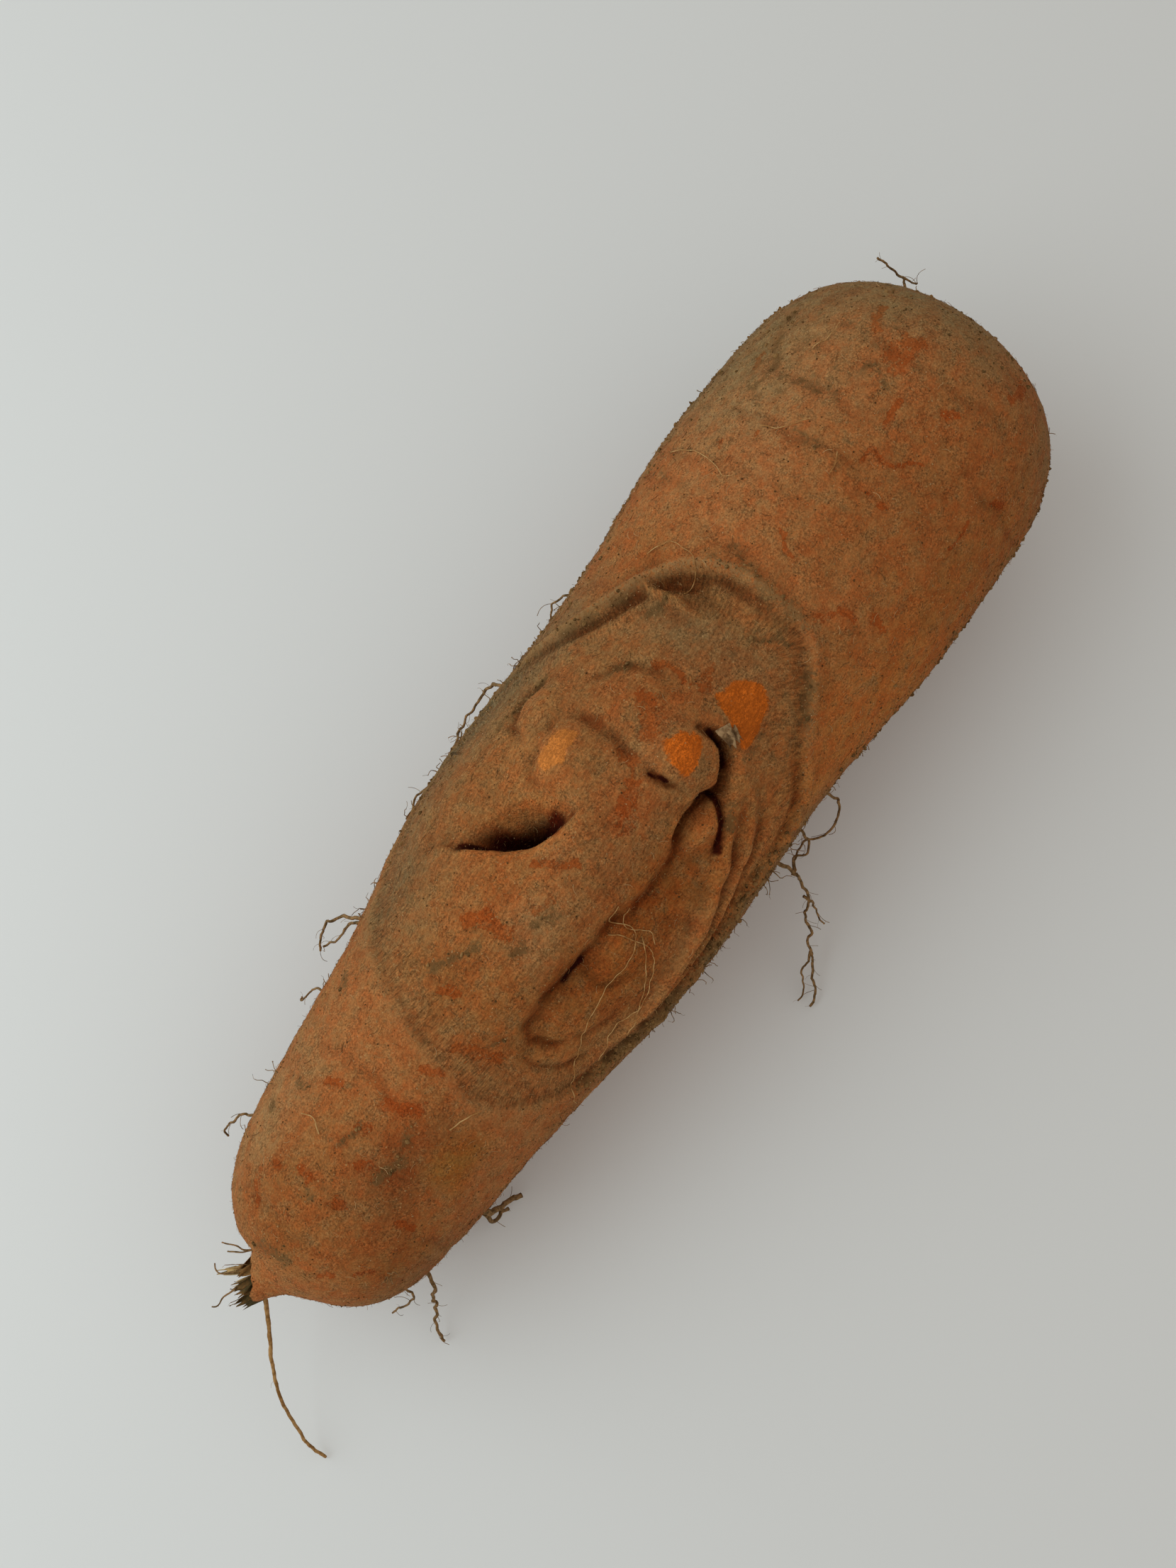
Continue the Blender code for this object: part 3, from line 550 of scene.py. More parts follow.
give_attribute(root_mesh, "bare_flesh", bare)
give_attribute(root_mesh, "worn_film", worn)
give_attribute(root_mesh, "flesh_light", lightness)
give_attribute(root_mesh, "caked_soil", caked)
# Masks for painted shade in the deep folds and grooves, and for a painted highlight on the crests.
give_attribute(root_mesh, "fold_shade", np.clip(stroke_field(places + 0.5 * ragged, FOLD_SHADE_PLACES), 0, 1))
give_attribute(root_mesh, "groove", np.clip(groove * 1.7, 0, 1))
give_attribute(root_mesh, "crest_highlight", np.clip(-groove * 1.7, 0, 1))
give_attribute(root_mesh, "in_wound", smooth_step(from_rim, 0, 1.2))
give_attribute(root_mesh, "rim_line", (0.25 + 0.75 * by_crown) * np.exp(-((from_rim + 0.4) / 0.7) ** 2))
give_attribute(root_mesh, "along_rim", along_rim)
give_attribute(root_mesh, "from_rim", from_rim)
root_mesh.attributes.new("skin_place", "FLOAT_VECTOR", "POINT").data.foreach_set(
    "vector", np.hstack([places, np.zeros((len(places), 1))]).astype(np.float32).ravel()
)
soil_amount = 0.30 + 0.55 * np.clip(caked + 0.3, 0, 1) + 0.25 * wander
soil_amount += 0.40 * np.exp(-((ring_x - 74) / 18) ** 2 - ((ring_w - 22) / 18) ** 2)
soil_amount += 0.35 * smooth_step(np.abs(ring_w), 26, 46) - 0.9 * np.clip(bare + 0.2, 0, 1)
soil_amount += 0.35 * np.exp(-((from_rim + 0.2) / 1.6) ** 2) * (0.4 + 0.6 * by_crown)
give_attribute(root_mesh, "soil_amount", np.clip(soil_amount, 0, 1) * above_floor)


def add_node(tree, kind, inputs=None, **settings):
    """A node of the tree. An input is given by name or number: a value, or a socket to link."""
    made = tree.nodes.new(kind)
    for name, value in settings.items():
        setattr(made, name, value)
    for key, value in (inputs or {}).items():
        if isinstance(value, bpy.types.NodeSocket):
            tree.links.new(value, made.inputs[key])
        else:
            made.inputs[key].default_value = value
    return made


def maths(tree, operation, first, second=0.0):
    sockets = {0: first, 1: second}
    return add_node(tree, "ShaderNodeMath", sockets, operation=operation).outputs[0]


def product(tree, first, *others):
    for other in others:
        first = maths(tree, "MULTIPLY", first, other)
    return first


def total(tree, first, *others):
    for other in others:
        first = maths(tree, "ADD", first, other)
    return first


def sway(tree, pattern, gain):
    """A pattern from 0 to 1 as a number round nought, times the gain."""
    return product(tree, maths(tree, "SUBTRACT", pattern, 0.5), gain)


def spread(tree, value, low, high, to_low=0.0, to_high=1.0):
    """The value from low to high, smoothly turned into to_low to to_high."""
    sockets = {"Value": value, "From Min": low, "From Max": high, "To Min": to_low, "To Max": to_high}
    return add_node(tree, "ShaderNodeMapRange", sockets, interpolation_type="SMOOTHSTEP").outputs[0]


def mottle(tree, places, scale, detail=2.0, roughness=0.5):
    sockets = {"Vector": places, "Scale": scale, "Detail": detail, "Roughness": roughness}
    return add_node(tree, "ShaderNodeTexNoise", sockets).outputs["Fac"]


def tinted(tree, share, under, over, blend="MIX"):
    """A colour over another by a share. Each is three numbers or a socket."""
    under, over = [(*each, 1) if isinstance(each, tuple) else each for each in (under, over)]
    sockets = {0: share, 6: under, 7: over}
    return add_node(tree, "ShaderNodeMix", sockets, data_type="RGBA", blend_type=blend).outputs[2]


def shaded(tree, colour, shade):
    """The colour made darker or lighter by a number."""
    grey = add_node(tree, "ShaderNodeCombineColor", {0: shade, 1: shade, 2: shade}).outputs[0]
    return tinted(tree, 1.0, colour, grey, "MULTIPLY")


def dots(tree, places, scale, radius, chosen):
    """Small round specks: 1 inside the chosen share of them, 0 elsewhere."""
    cells = add_node(tree, "ShaderNodeTexVoronoi", {"Vector": places, "Scale": scale})
    pick = add_node(tree, "ShaderNodeSeparateColor", {0: cells.outputs["Color"]}).outputs[0]
    near = spread(tree, cells.outputs["Distance"], radius * 0.6, radius, 1.0, 0.0)
    return product(tree, near, spread(tree, pick, 1 - chosen, 1.02 - chosen))


def attribute(tree, name, output="Fac"):
    return add_node(tree, "ShaderNodeAttribute", attribute_name=name).outputs[output]


def object_places(tree):
    return add_node(tree, "ShaderNodeTexCoord").outputs["Object"]


def new_material(name, roughness, specular=0.06):
    """A material and its tree and main shader, with the sockets that are the same all over."""
    material = bpy.data.materials.new(name)
    material.use_nodes = True
    shader = material.node_tree.nodes["Principled BSDF"]
    shader.inputs["Roughness"].default_value = roughness
    shader.inputs["Specular IOR Level"].default_value = specular
    return material, material.node_tree, shader


def coat(tree, shader, colour, height=None, depth=0.0003, strength=0.8):
    """Gives the shader its colour and, where there is one, its height in metres as bump."""
    tree.links.new(colour, shader.inputs["Base Color"])
    if height is not None:
        sockets = {"Height": height, "Strength": strength, "Distance": depth}
        bump = add_node(tree, "ShaderNodeBump", sockets)
        tree.links.new(bump.outputs[0], shader.inputs["Normal"])


# Two hues of the film at a broad and at a fine scale, then what worn film, cracks, painted shade in
# grooves and folds and a painted highlight on crests make of the colour under them. Each is multiplied
# with that colour.
BROAD_HUES = ((1.14, 1.06, 1.10), (1.06, 1.28, 1.50))
FINE_HUES = ((1.03, 0.95, 0.90), (0.96, 1.06, 1.14))
WORN_TINT = (1.03, 0.61, 0.37)
CRACK_TINT = (0.50, 0.34, 0.24)
GROOVE_SHADE_TINT = (0.46, 0.34, 0.27)
FOLD_SHADE_TINT = (0.18, 0.062, 0.040)
CREST_HIGHLIGHT_TINT = (1.22, 1.16, 1.08)
# The flesh, and what lies on the film.
FLESH = (0.520, 0.110, 0.007)
PALE_FLESH = (0.540, 0.180, 0.034)
DUST = (0.225, 0.120, 0.044)
HEAPED_SOIL = (0.170, 0.094, 0.034)
CAKED_SOIL = (0.125, 0.068, 0.022)
RIM_DUST = (0.300, 0.180, 0.078)
PORE = (0.100, 0.040, 0.012)
PALE_SPECK_GLINT = (0.50, 0.29, 0.115)
SKIN_BUMP = 0.00055

skin_material, tree, shader = new_material("soiled_skin", 0.75)
where = object_places(tree)
broad = mottle(tree, where, 150, 3, 0.55)
rusty = mottle(tree, where, 300, 4, 0.62)
coarse = mottle(tree, where, 430, 2, 0.5)
patchy = mottle(tree, where, 560, 3, 0.6)
flakes = mottle(tree, where, 1150, 4, 0.74)
flecks = mottle(tree, where, 1700, 3, 0.65)
grain = mottle(tree, where, 3000, 3, 0.7)

# Fine lines in the wound: along the body in its middle, and square to the rim beside it.
inward = attribute(tree, "from_rim")
near_rim = spread(tree, inward, 4, 10, 1.0, 0.0)
rim_way = add_node(tree, "ShaderNodeCombineXYZ", {
    0: product(tree, attribute(tree, "along_rim"), 2.2), 1: product(tree, inward, 0.5),
}).outputs[0]
body_way = add_node(tree, "ShaderNodeVectorMath", {
    0: attribute(tree, "skin_place", "Vector"), 1: (0.45, 1.9, 1.0),
}, operation="MULTIPLY").outputs[0]
hatch = add_node(tree, "ShaderNodeMix", {
    0: near_rim, 2: mottle(tree, body_way, 1.0, 3, 0.6), 3: mottle(tree, rim_way, 1.0, 2, 0.55),
}).outputs[0]
hatch_share = product(tree, attribute(tree, "in_wound"), spread(tree, near_rim, 0, 1, 0.55, 1.0))

# The film of soil, the places where it is worn, and the bare flesh.
tone = attribute(tree, "skin_tone", "Color")
colour = tone
for pattern, hues in ((rusty, BROAD_HUES), (flakes, FINE_HUES)):
    hue = tinted(tree, spread(tree, pattern, 0.36, 0.64), *hues)
    colour = tinted(tree, 1.0, colour, hue, "MULTIPLY")
worn = total(tree, attribute(tree, "worn_film"), sway(tree, flakes, 3.4), sway(tree, patchy, 1.6))
worn = spread(tree, worn, 0.15, 0.44, 0.0, 0.80)
bald = total(tree, flakes, sway(tree, rusty, 0.8))
worn = maths(tree, "MAXIMUM", worn, spread(tree, bald, 0.71, 0.77, 0.0, 0.55))
colour = tinted(tree, worn, colour, tinted(tree, 1.0, tone, WORN_TINT, "MULTIPLY"))
bare_share = total(tree, attribute(tree, "bare_flesh"), sway(tree, flakes, 1.6))
bare_share = spread(tree, bare_share, -0.10, 0.30)
flesh = tinted(tree, spread(tree, attribute(tree, "flesh_light"), 0.65, 1.0), FLESH, PALE_FLESH)
colour = tinted(tree, product(tree, bare_share, 0.92), colour, flesh)

# Dust; the light and dark of the grain and of the fine lines, partly painted shade that is darker in their
# pits and lighter on their tops with the bump height; and hair cracks.
dust = spread(tree, total(tree, coarse, sway(tree, broad, 0.8)), 0.46, 0.80)
dust = product(tree, dust, maths(tree, "SUBTRACT", 1.0, bare_share))
dust = product(tree, dust, spread(tree, flecks, 0.40, 0.58, 0.2, 0.72))
colour = tinted(tree, dust, colour, DUST)
shade = total(
    tree, spread(tree, broad, 0.3, 0.7, 0.97, 1.15), spread(tree, flecks, 0.3, 0.7, -0.16, 0.16),
    product(tree, hatch_share, spread(tree, hatch, 0.36, 0.62, -0.30, 0.12)),
)
# Painted shade of the grain: darker in its pits and lighter on its tops, in step with the bump height.
grain_shade = add_node(tree, "ShaderNodeMix", {
    0: spread(tree, coarse, 0.38, 0.62), 2: spread(tree, grain, 0.32, 0.66, 0.80, 1.14),
    3: spread(tree, grain, 0.32, 0.66, 0.56, 1.38),
}).outputs[0]
shade = maths(tree, "MAXIMUM", product(tree, shade, grain_shade), product(tree, bare_share, 0.84))
colour = shaded(tree, colour, shade)
crack = maths(tree, "ABSOLUTE", maths(tree, "SUBTRACT", flakes, 0.5))
crack = spread(tree, crack, 0.0, 0.014, 1.0, 0.0)
crack = product(tree, crack, spread(tree, patchy, 0.52, 0.62, 0.0, 0.7))
colour = tinted(tree, crack, colour, CRACK_TINT, "MULTIPLY")

# Soil in thin heaps, in caked places and along the wound's rim.
heap = total(
    tree, product(tree, flecks, 0.6), product(tree, patchy, 0.4),
    product(tree, attribute(tree, "soil_amount"), 0.30),
)
colour = tinted(tree, spread(tree, heap, 0.66, 0.80, 0.0, 0.60), colour, HEAPED_SOIL)
cake = maths(tree, "SUBTRACT", total(tree, product(tree, flecks, 0.9), patchy), 0.95)
cake = total(tree, attribute(tree, "caked_soil"), product(tree, cake, 2.2))
cake = product(tree, spread(tree, cake, 0.2, 1.0), spread(tree, grain, 0.42, 0.58, 0.10, 1.0), 0.70)
colour = tinted(tree, cake, colour, CAKED_SOIL)
rim_dust = product(tree, attribute(tree, "rim_line"), spread(tree, flecks, 0.35, 0.6, 0.1, 0.7))
colour = tinted(tree, rim_dust, colour, RIM_DUST)

# Painted shade and settled soil in grooves, painted shade in the dark folds, a painted highlight on
# crests, then pores and pale specks, partly painted glints.
# Painted shade, with settled soil: darker where the skin lies below its blurred relief.
colour = tinted(tree, attribute(tree, "groove"), colour, GROOVE_SHADE_TINT, "MULTIPLY")
in_fold_shade = attribute(tree, "fold_shade")
# Painted shade in the deep folds and slits.
dark = spread(tree, total(tree, in_fold_shade, product(tree, patchy, 0.3)), 0.22, 0.80)
colour = tinted(tree, dark, colour, FOLD_SHADE_TINT, "MULTIPLY")
# Painted highlight: raised places are made lighter.
colour = tinted(tree, attribute(tree, "crest_highlight"), colour, CREST_HIGHLIGHT_TINT, "MULTIPLY")
colour = tinted(tree, product(tree, dots(tree, where, 1000, 0.20, 0.10), 0.35), colour, PORE)
# Pale specks: pale grains and painted glints.
speck_glints = product(tree, dots(tree, where, 1700, 0.30, 0.12), maths(tree, "SUBTRACT", 1.0, in_fold_shade))
speck_glints = product(tree, speck_glints, spread(tree, patchy, 0.40, 0.6, 0.15, 0.7))
colour = tinted(tree, speck_glints, colour, PALE_SPECK_GLINT)
height = total(
    tree, product(tree, flecks, 0.5), product(tree, grain, 0.35), product(tree, flakes, 0.6),
    product(tree, hatch_share, hatch, 0.9), product(tree, worn, -0.20),
)
coat(tree, shader, colour, height, SKIN_BUMP, 1.0)
tree.links.new(spread(tree, bare_share, 0, 1, 0.80, 0.58), shader.inputs["Roughness"])
root_mesh.materials.append(skin_material)
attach(root_skin, "root")
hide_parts("carrot_root")

# Soil on the root: dried crumbs and grains of sand stuck to the skin, thickest where the soil
# film is, and bigger clumps in the creases, along the wound's rim and on the crown.
# Each kind: grains on a square metre of thick soil, smallest and largest radius, roughness.
CRUMBS = (1250000.0, 0.00006, 0.00022, 0.00006)
SAND = (360000.0, 0.00004, 0.00011, 0.00003)
CLUMPS = (1500000.0, 0.00014, 0.00048, 0.00035)


def new_tree(name, inputs):
    """A Geometry Nodes tree with named inputs. Returns it with its input and output nodes."""
    tree = bpy.data.node_groups.new(name, "GeometryNodeTree")
    tree.interface.new_socket("Geometry", in_out="INPUT", socket_type="NodeSocketGeometry")
    for socket_name, kind in inputs.items():
        tree.interface.new_socket(socket_name, in_out="INPUT", socket_type="NodeSocket" + kind)
    tree.interface.new_socket("Geometry", in_out="OUTPUT", socket_type="NodeSocketGeometry")
    return tree, tree.nodes.new("NodeGroupInput").outputs, tree.nodes.new("NodeGroupOutput")


def random_number(tree, low, high, seed):
    return add_node(tree, "FunctionNodeRandomValue", {2: low, 3: high, 8: seed}).outputs[1]


def random_vector(tree, low, high, seed):
    sockets = {0: low, 1: high, 8: seed}
    return add_node(tree, "FunctionNodeRandomValue", sockets, data_type="FLOAT_VECTOR").outputs[0]


def skewed_random(tree, power, low, high, seed):
    """A random number from low to high, most often near low."""
    share = maths(tree, "POWER", random_number(tree, 0.0, 1.0, seed), power)
    sockets = {"Value": share, "To Min": low, "To Max": high}
    return add_node(tree, "ShaderNodeMapRange", sockets).outputs[0]


def scaled(tree, vector, factor):
    sockets = {0: vector, "Scale": factor}
    return add_node(tree, "ShaderNodeVectorMath", sockets, operation="SCALE").outputs[0]


def noise_shift(tree, scale, amount):
    """A move for each point, by smooth noise of the given scale."""
    spot = add_node(tree, "GeometryNodeInputPosition").outputs[0]
    sockets = {"Vector": spot, "Scale": scale, "Detail": 1.0}
    waves = add_node(tree, "ShaderNodeTexNoise", sockets).outputs["Color"]
    sockets = {0: waves, 1: (0.5, 0.5, 0.5)}
    waves = add_node(tree, "ShaderNodeVectorMath", sockets, operation="SUBTRACT").outputs[0]
    return scaled(tree, waves, amount)


def scatter(tree, given, amount):
    """Points on the given mesh, as many as its attribute of that name says."""
    share = add_node(tree, "GeometryNodeInputNamedAttribute", {"Name": amount}).outputs[0]
    density = product(tree, share, given["Density"])
    sockets = {"Mesh": given["Geometry"], "Density": density, "Seed": given["Seed"]}
    return add_node(tree, "GeometryNodeDistributePointsOnFaces", sockets).outputs


def finish_tree(tree, given, end, instances, lumpy=False):
    """Keeps a random shade for each instance, then realises them and sets the material."""
    sockets = {"Geometry": instances, "Name": "shade", "Value": random_number(tree, 0.0, 1.0, 91)}
    kept = add_node(tree, "GeometryNodeStoreNamedAttribute", sockets, domain="INSTANCE").outputs[0]
    real = add_node(tree, "GeometryNodeRealizeInstances", {0: kept}).outputs[0]
    if lumpy:
        sockets = {"Geometry": real, "Offset": noise_shift(tree, 2200.0, given["Roughness"])}
        real = add_node(tree, "GeometryNodeSetPosition", sockets).outputs[0]
    sockets = {"Geometry": real, "Material": given["Material"]}
    coated = add_node(tree, "GeometryNodeSetMaterial", sockets).outputs[0]
    tree.links.new(coated, end.inputs[0])


def add_piece(name, mesh, material):
    """An object of its own for a finished mesh, which rides on the root's body."""
    mesh.name = name
    mesh.materials.clear()
    mesh.materials.append(material)
    made = bpy.data.objects.new(name, mesh)
    bpy.context.scene.collection.objects.link(made)
    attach(made, "root")
    return made


def grow(name, source, tree, values, material):
    """What the tree makes of a source mesh or curve, as a plain mesh in a piece of its own."""
    holder = bpy.data.objects.new(name + "_source", source)
    bpy.context.scene.collection.objects.link(holder)
    growth = holder.modifiers.new("growth", "NODES")
    growth.node_group = tree
    values["Material"] = material
    for socket in tree.interface.items_tree:
        if socket.item_type == "SOCKET" and socket.in_out == "INPUT" and socket.name in values:
            growth[socket.identifier] = values[socket.name]
    bpy.context.view_layer.update()
    graph = bpy.context.evaluated_depsgraph_get()
    mesh = bpy.data.meshes.new_from_object(holder.evaluated_get(graph))
    bpy.data.objects.remove(holder)
    return add_piece(name, mesh, material)


def crumb_tree(sides):
    """Grains scattered over a mesh, as many as its amount attribute says."""
    tree, given, end = new_tree("crumbs", {
        "Density": "Float", "Smallest": "Float", "Largest": "Float", "Roughness": "Float",
        "Amount": "String", "Seed": "Int", "Material": "Material",
    })
    scattered = scatter(tree, given, given["Amount"])["Points"]
    sockets = {"Segments": sides, "Rings": sides // 2, "Radius": 1.0}
    grain = add_node(tree, "GeometryNodeMeshUVSphere", sockets).outputs[0]
    size = skewed_random(tree, 2.5, given["Smallest"], given["Largest"], 1)
    stretch = random_vector(tree, (0.6, 0.6, 0.5), (1.4, 1.4, 1.1), 2)
    turned = random_vector(tree, (0, 0, 0), (math.tau, math.tau, math.tau), 3)
    turned = add_node(tree, "FunctionNodeEulerToRotation", {0: turned}).outputs[0]
    sockets = {
        "Points": scattered, "Instance": grain, "Rotation": turned, "Scale": scaled(tree, stretch, size),
    }
    placed = add_node(tree, "GeometryNodeInstanceOnPoints", sockets).outputs[0]
    finish_tree(tree, given, end, placed, lumpy=True)
    return tree


crumb_material, tree, shader = new_material("dried_soil", 0.85)
shade = attribute(tree, "shade")
grit = mottle(tree, object_places(tree), 5200, 2)
colour = tinted(tree, spread(tree, shade, 0.25, 0.60), (0.090, 0.042, 0.013), (0.230, 0.115, 0.038))
colour = tinted(tree, spread(tree, shade, 0.62, 0.90), colour, (0.440, 0.250, 0.105))
colour = tinted(tree, spread(tree, grit, 0.35, 0.65, 0.0, 0.3), colour, (0.080, 0.042, 0.015))
coat(tree, shader, colour, grit, 0.0001, 0.6)
sand_material, tree, shader = new_material("pale_sand", 0.5, 0.15)
shade = spread(tree, attribute(tree, "shade"), 0.3, 0.9)
coat(tree, shader, tinted(tree, shade, (0.42, 0.235, 0.090), (0.74, 0.50, 0.25)))
clump_material, tree, shader = new_material("caked_soil", 0.9)
grit = mottle(tree, object_places(tree), 2600, 3, 0.65)
shade = spread(tree, attribute(tree, "shade"), 0.2, 0.8)
colour = tinted(tree, shade, (0.110, 0.058, 0.018), (0.270, 0.145, 0.050))
colour = tinted(tree, spread(tree, grit, 0.45, 0.7, 0.0, 0.7), colour, (0.37, 0.212, 0.085))
coat(tree, shader, colour, grit, 0.0003, 0.9)

clump_amount = np.clip(caked * 0.45 + 0.15 * wander, 0, 1)
clump_amount += 0.20 * np.exp(-((ring_w - 37) / 7) ** 2) * smooth_step(ring_x, -40, -20)
clump_amount += 0.16 * np.exp(-((ring_w + 41) / 6) ** 2) * smooth_step(ring_x, -20, 10)
lower_rim = smooth_step(-ring_w, 25, 32) * smooth_step(ring_x, -50,
                                                       -42) * (1 - smooth_step(ring_x, 2, 12))
clump_amount += lower_rim * (1.0 + 0.9 * ragged[:, 0]) * np.exp(-((from_rim + 0.5) / 1.6) ** 2)
clump_amount += 0.14 * np.exp(-((ring_x - 95) / 7) ** 2 - ((ring_w + 8) / 14) ** 2)
soil_amount += 0.5 * np.exp(-((ring_w - 38) / 7) ** 2) + 0.5 * np.exp(-((ring_w + 40) / 6) ** 2)
give_attribute(root_mesh, "crumb_amount", np.clip(soil_amount, 0, 1) * above_floor)
give_attribute(root_mesh, "clump_amount", np.clip(clump_amount, 0, 1) * above_floor)
fine_grain = crumb_tree(4)
for name, tree, (density, smallest, largest, roughness), amount, seed, material in (
    ("soil_crumbs", fine_grain, CRUMBS, "crumb_amount", 4, crumb_material),
    ("sand_grains", fine_grain, SAND, "crumb_amount", 5, sand_material),
    ("soil_clumps", crumb_tree(8), CLUMPS, "clump_amount", 9, clump_material),
):
    grow(name, root_mesh, tree, {
        "Density": density, "Smallest": smallest, "Largest": largest,
        "Roughness": roughness, "Amount": amount, "Seed": seed,
    }, material)

# Fuzz on the skin: broken fine root hairs and peeled threads, less than two millimetres long,
# which lie on the soil film or stand a little off it.
# Each kind: hairs on a square metre, shortest and longest, thickness over length, tilts.
LYING_HAIRS = (340000.0, 0.0004, 0.0017, 0.026, -0.02, 0.22)
STANDING_HAIRS = (260000.0, 0.0002, 0.0008, 0.035, 0.3, 1.4)
HAIR_BEND = {"Start": (0, 0, 0), "Middle": (0.5, 0.28, 0.10), "End": (1.0, 0.0, 0.02)}


def bent_hair(tree, bend, steps, sides, radius):
    """One hair: a bent tube of length one, with closed ends."""
    line = add_node(tree, "GeometryNodeCurveQuadraticBezier", {"Resolution": steps, **bend}).outputs[0]
    sockets = {"Resolution": sides, "Radius": radius}
    ring = add_node(tree, "GeometryNodeCurvePrimitiveCircle", sockets).outputs[0]
    sockets = {"Curve": line, "Profile Curve": ring, "Fill Caps": True}
    return add_node(tree, "GeometryNodeCurveToMesh", sockets).outputs[0]


def tilted(tree, rotation, tilt, seed):
    """The rotation, tilted off its own base and turned by chance."""
    sockets = {1: tilt, 2: random_number(tree, 0.0, math.tau, seed)}
    turn = add_node(tree, "ShaderNodeCombineXYZ", sockets).outputs[0]
    turn = add_node(tree, "FunctionNodeEulerToRotation", {0: turn}).outputs[0]
    sockets = {0: rotation, 1: turn}
    return add_node(tree, "FunctionNodeRotateRotation", sockets, rotation_space="LOCAL").outputs[0]


def hair_tree():
    """Bent hairs scattered over a mesh, as many as its hair amount says."""
    tree, given, end = new_tree("root hairs", {
        "Density": "Float", "Shortest": "Float", "Longest": "Float", "Thickness": "Float",
        "Lowest Tilt": "Float", "Highest Tilt": "Float", "Seed": "Int", "Material": "Material",
    })
    scattered = scatter(tree, given, "hair_amount")
    lean = skewed_random(tree, 2.0, given["Lowest Tilt"], given["Highest Tilt"], 11)
    sockets = {
        "Points": scattered["Points"],
        "Instance": bent_hair(tree, HAIR_BEND, 3, 3, given["Thickness"]),
        "Rotation": tilted(tree, scattered["Rotation"], product(tree, lean, -1.0), 12),
        "Scale": skewed_random(tree, 2.0, given["Shortest"], given["Longest"], 13),
    }
    placed = add_node(tree, "GeometryNodeInstanceOnPoints", sockets).outputs[0]
    finish_tree(tree, given, end, placed)
    return tree


hair_material, tree, shader = new_material("dry_root_hair", 0.8)
shade = attribute(tree, "shade")
colour = tinted(tree, spread(tree, shade, 0.2, 0.6), (0.13, 0.060, 0.020), (0.36, 0.180, 0.065))
colour = tinted(tree, spread(tree, shade, 0.75, 0.95), colour, (0.58, 0.36, 0.16))
coat(tree, shader, colour)
hair_amount = np.clip(0.75 + 0.3 * wander - np.clip(bare + 0.3, 0, 1), 0, 1) * above_floor
hair_amount += 0.6 * np.exp(-((np.abs(ring_w) - 40) / 7) ** 2)
give_attribute(root_mesh, "hair_amount", hair_amount)
fuzz_tree = hair_tree()
for name, (density, shortest, longest, thickness, low_tilt, high_tilt), seed in (
    ("lying_root_hairs", LYING_HAIRS, 3), ("standing_root_hairs", STANDING_HAIRS, 6),
):
    grow(name, root_mesh, fuzz_tree, {
        "Density": density, "Shortest": shortest, "Longest": longest, "Thickness": thickness,
        "Lowest Tilt": low_tilt, "Highest Tilt": high_tilt, "Seed": seed,
    }, hair_material)

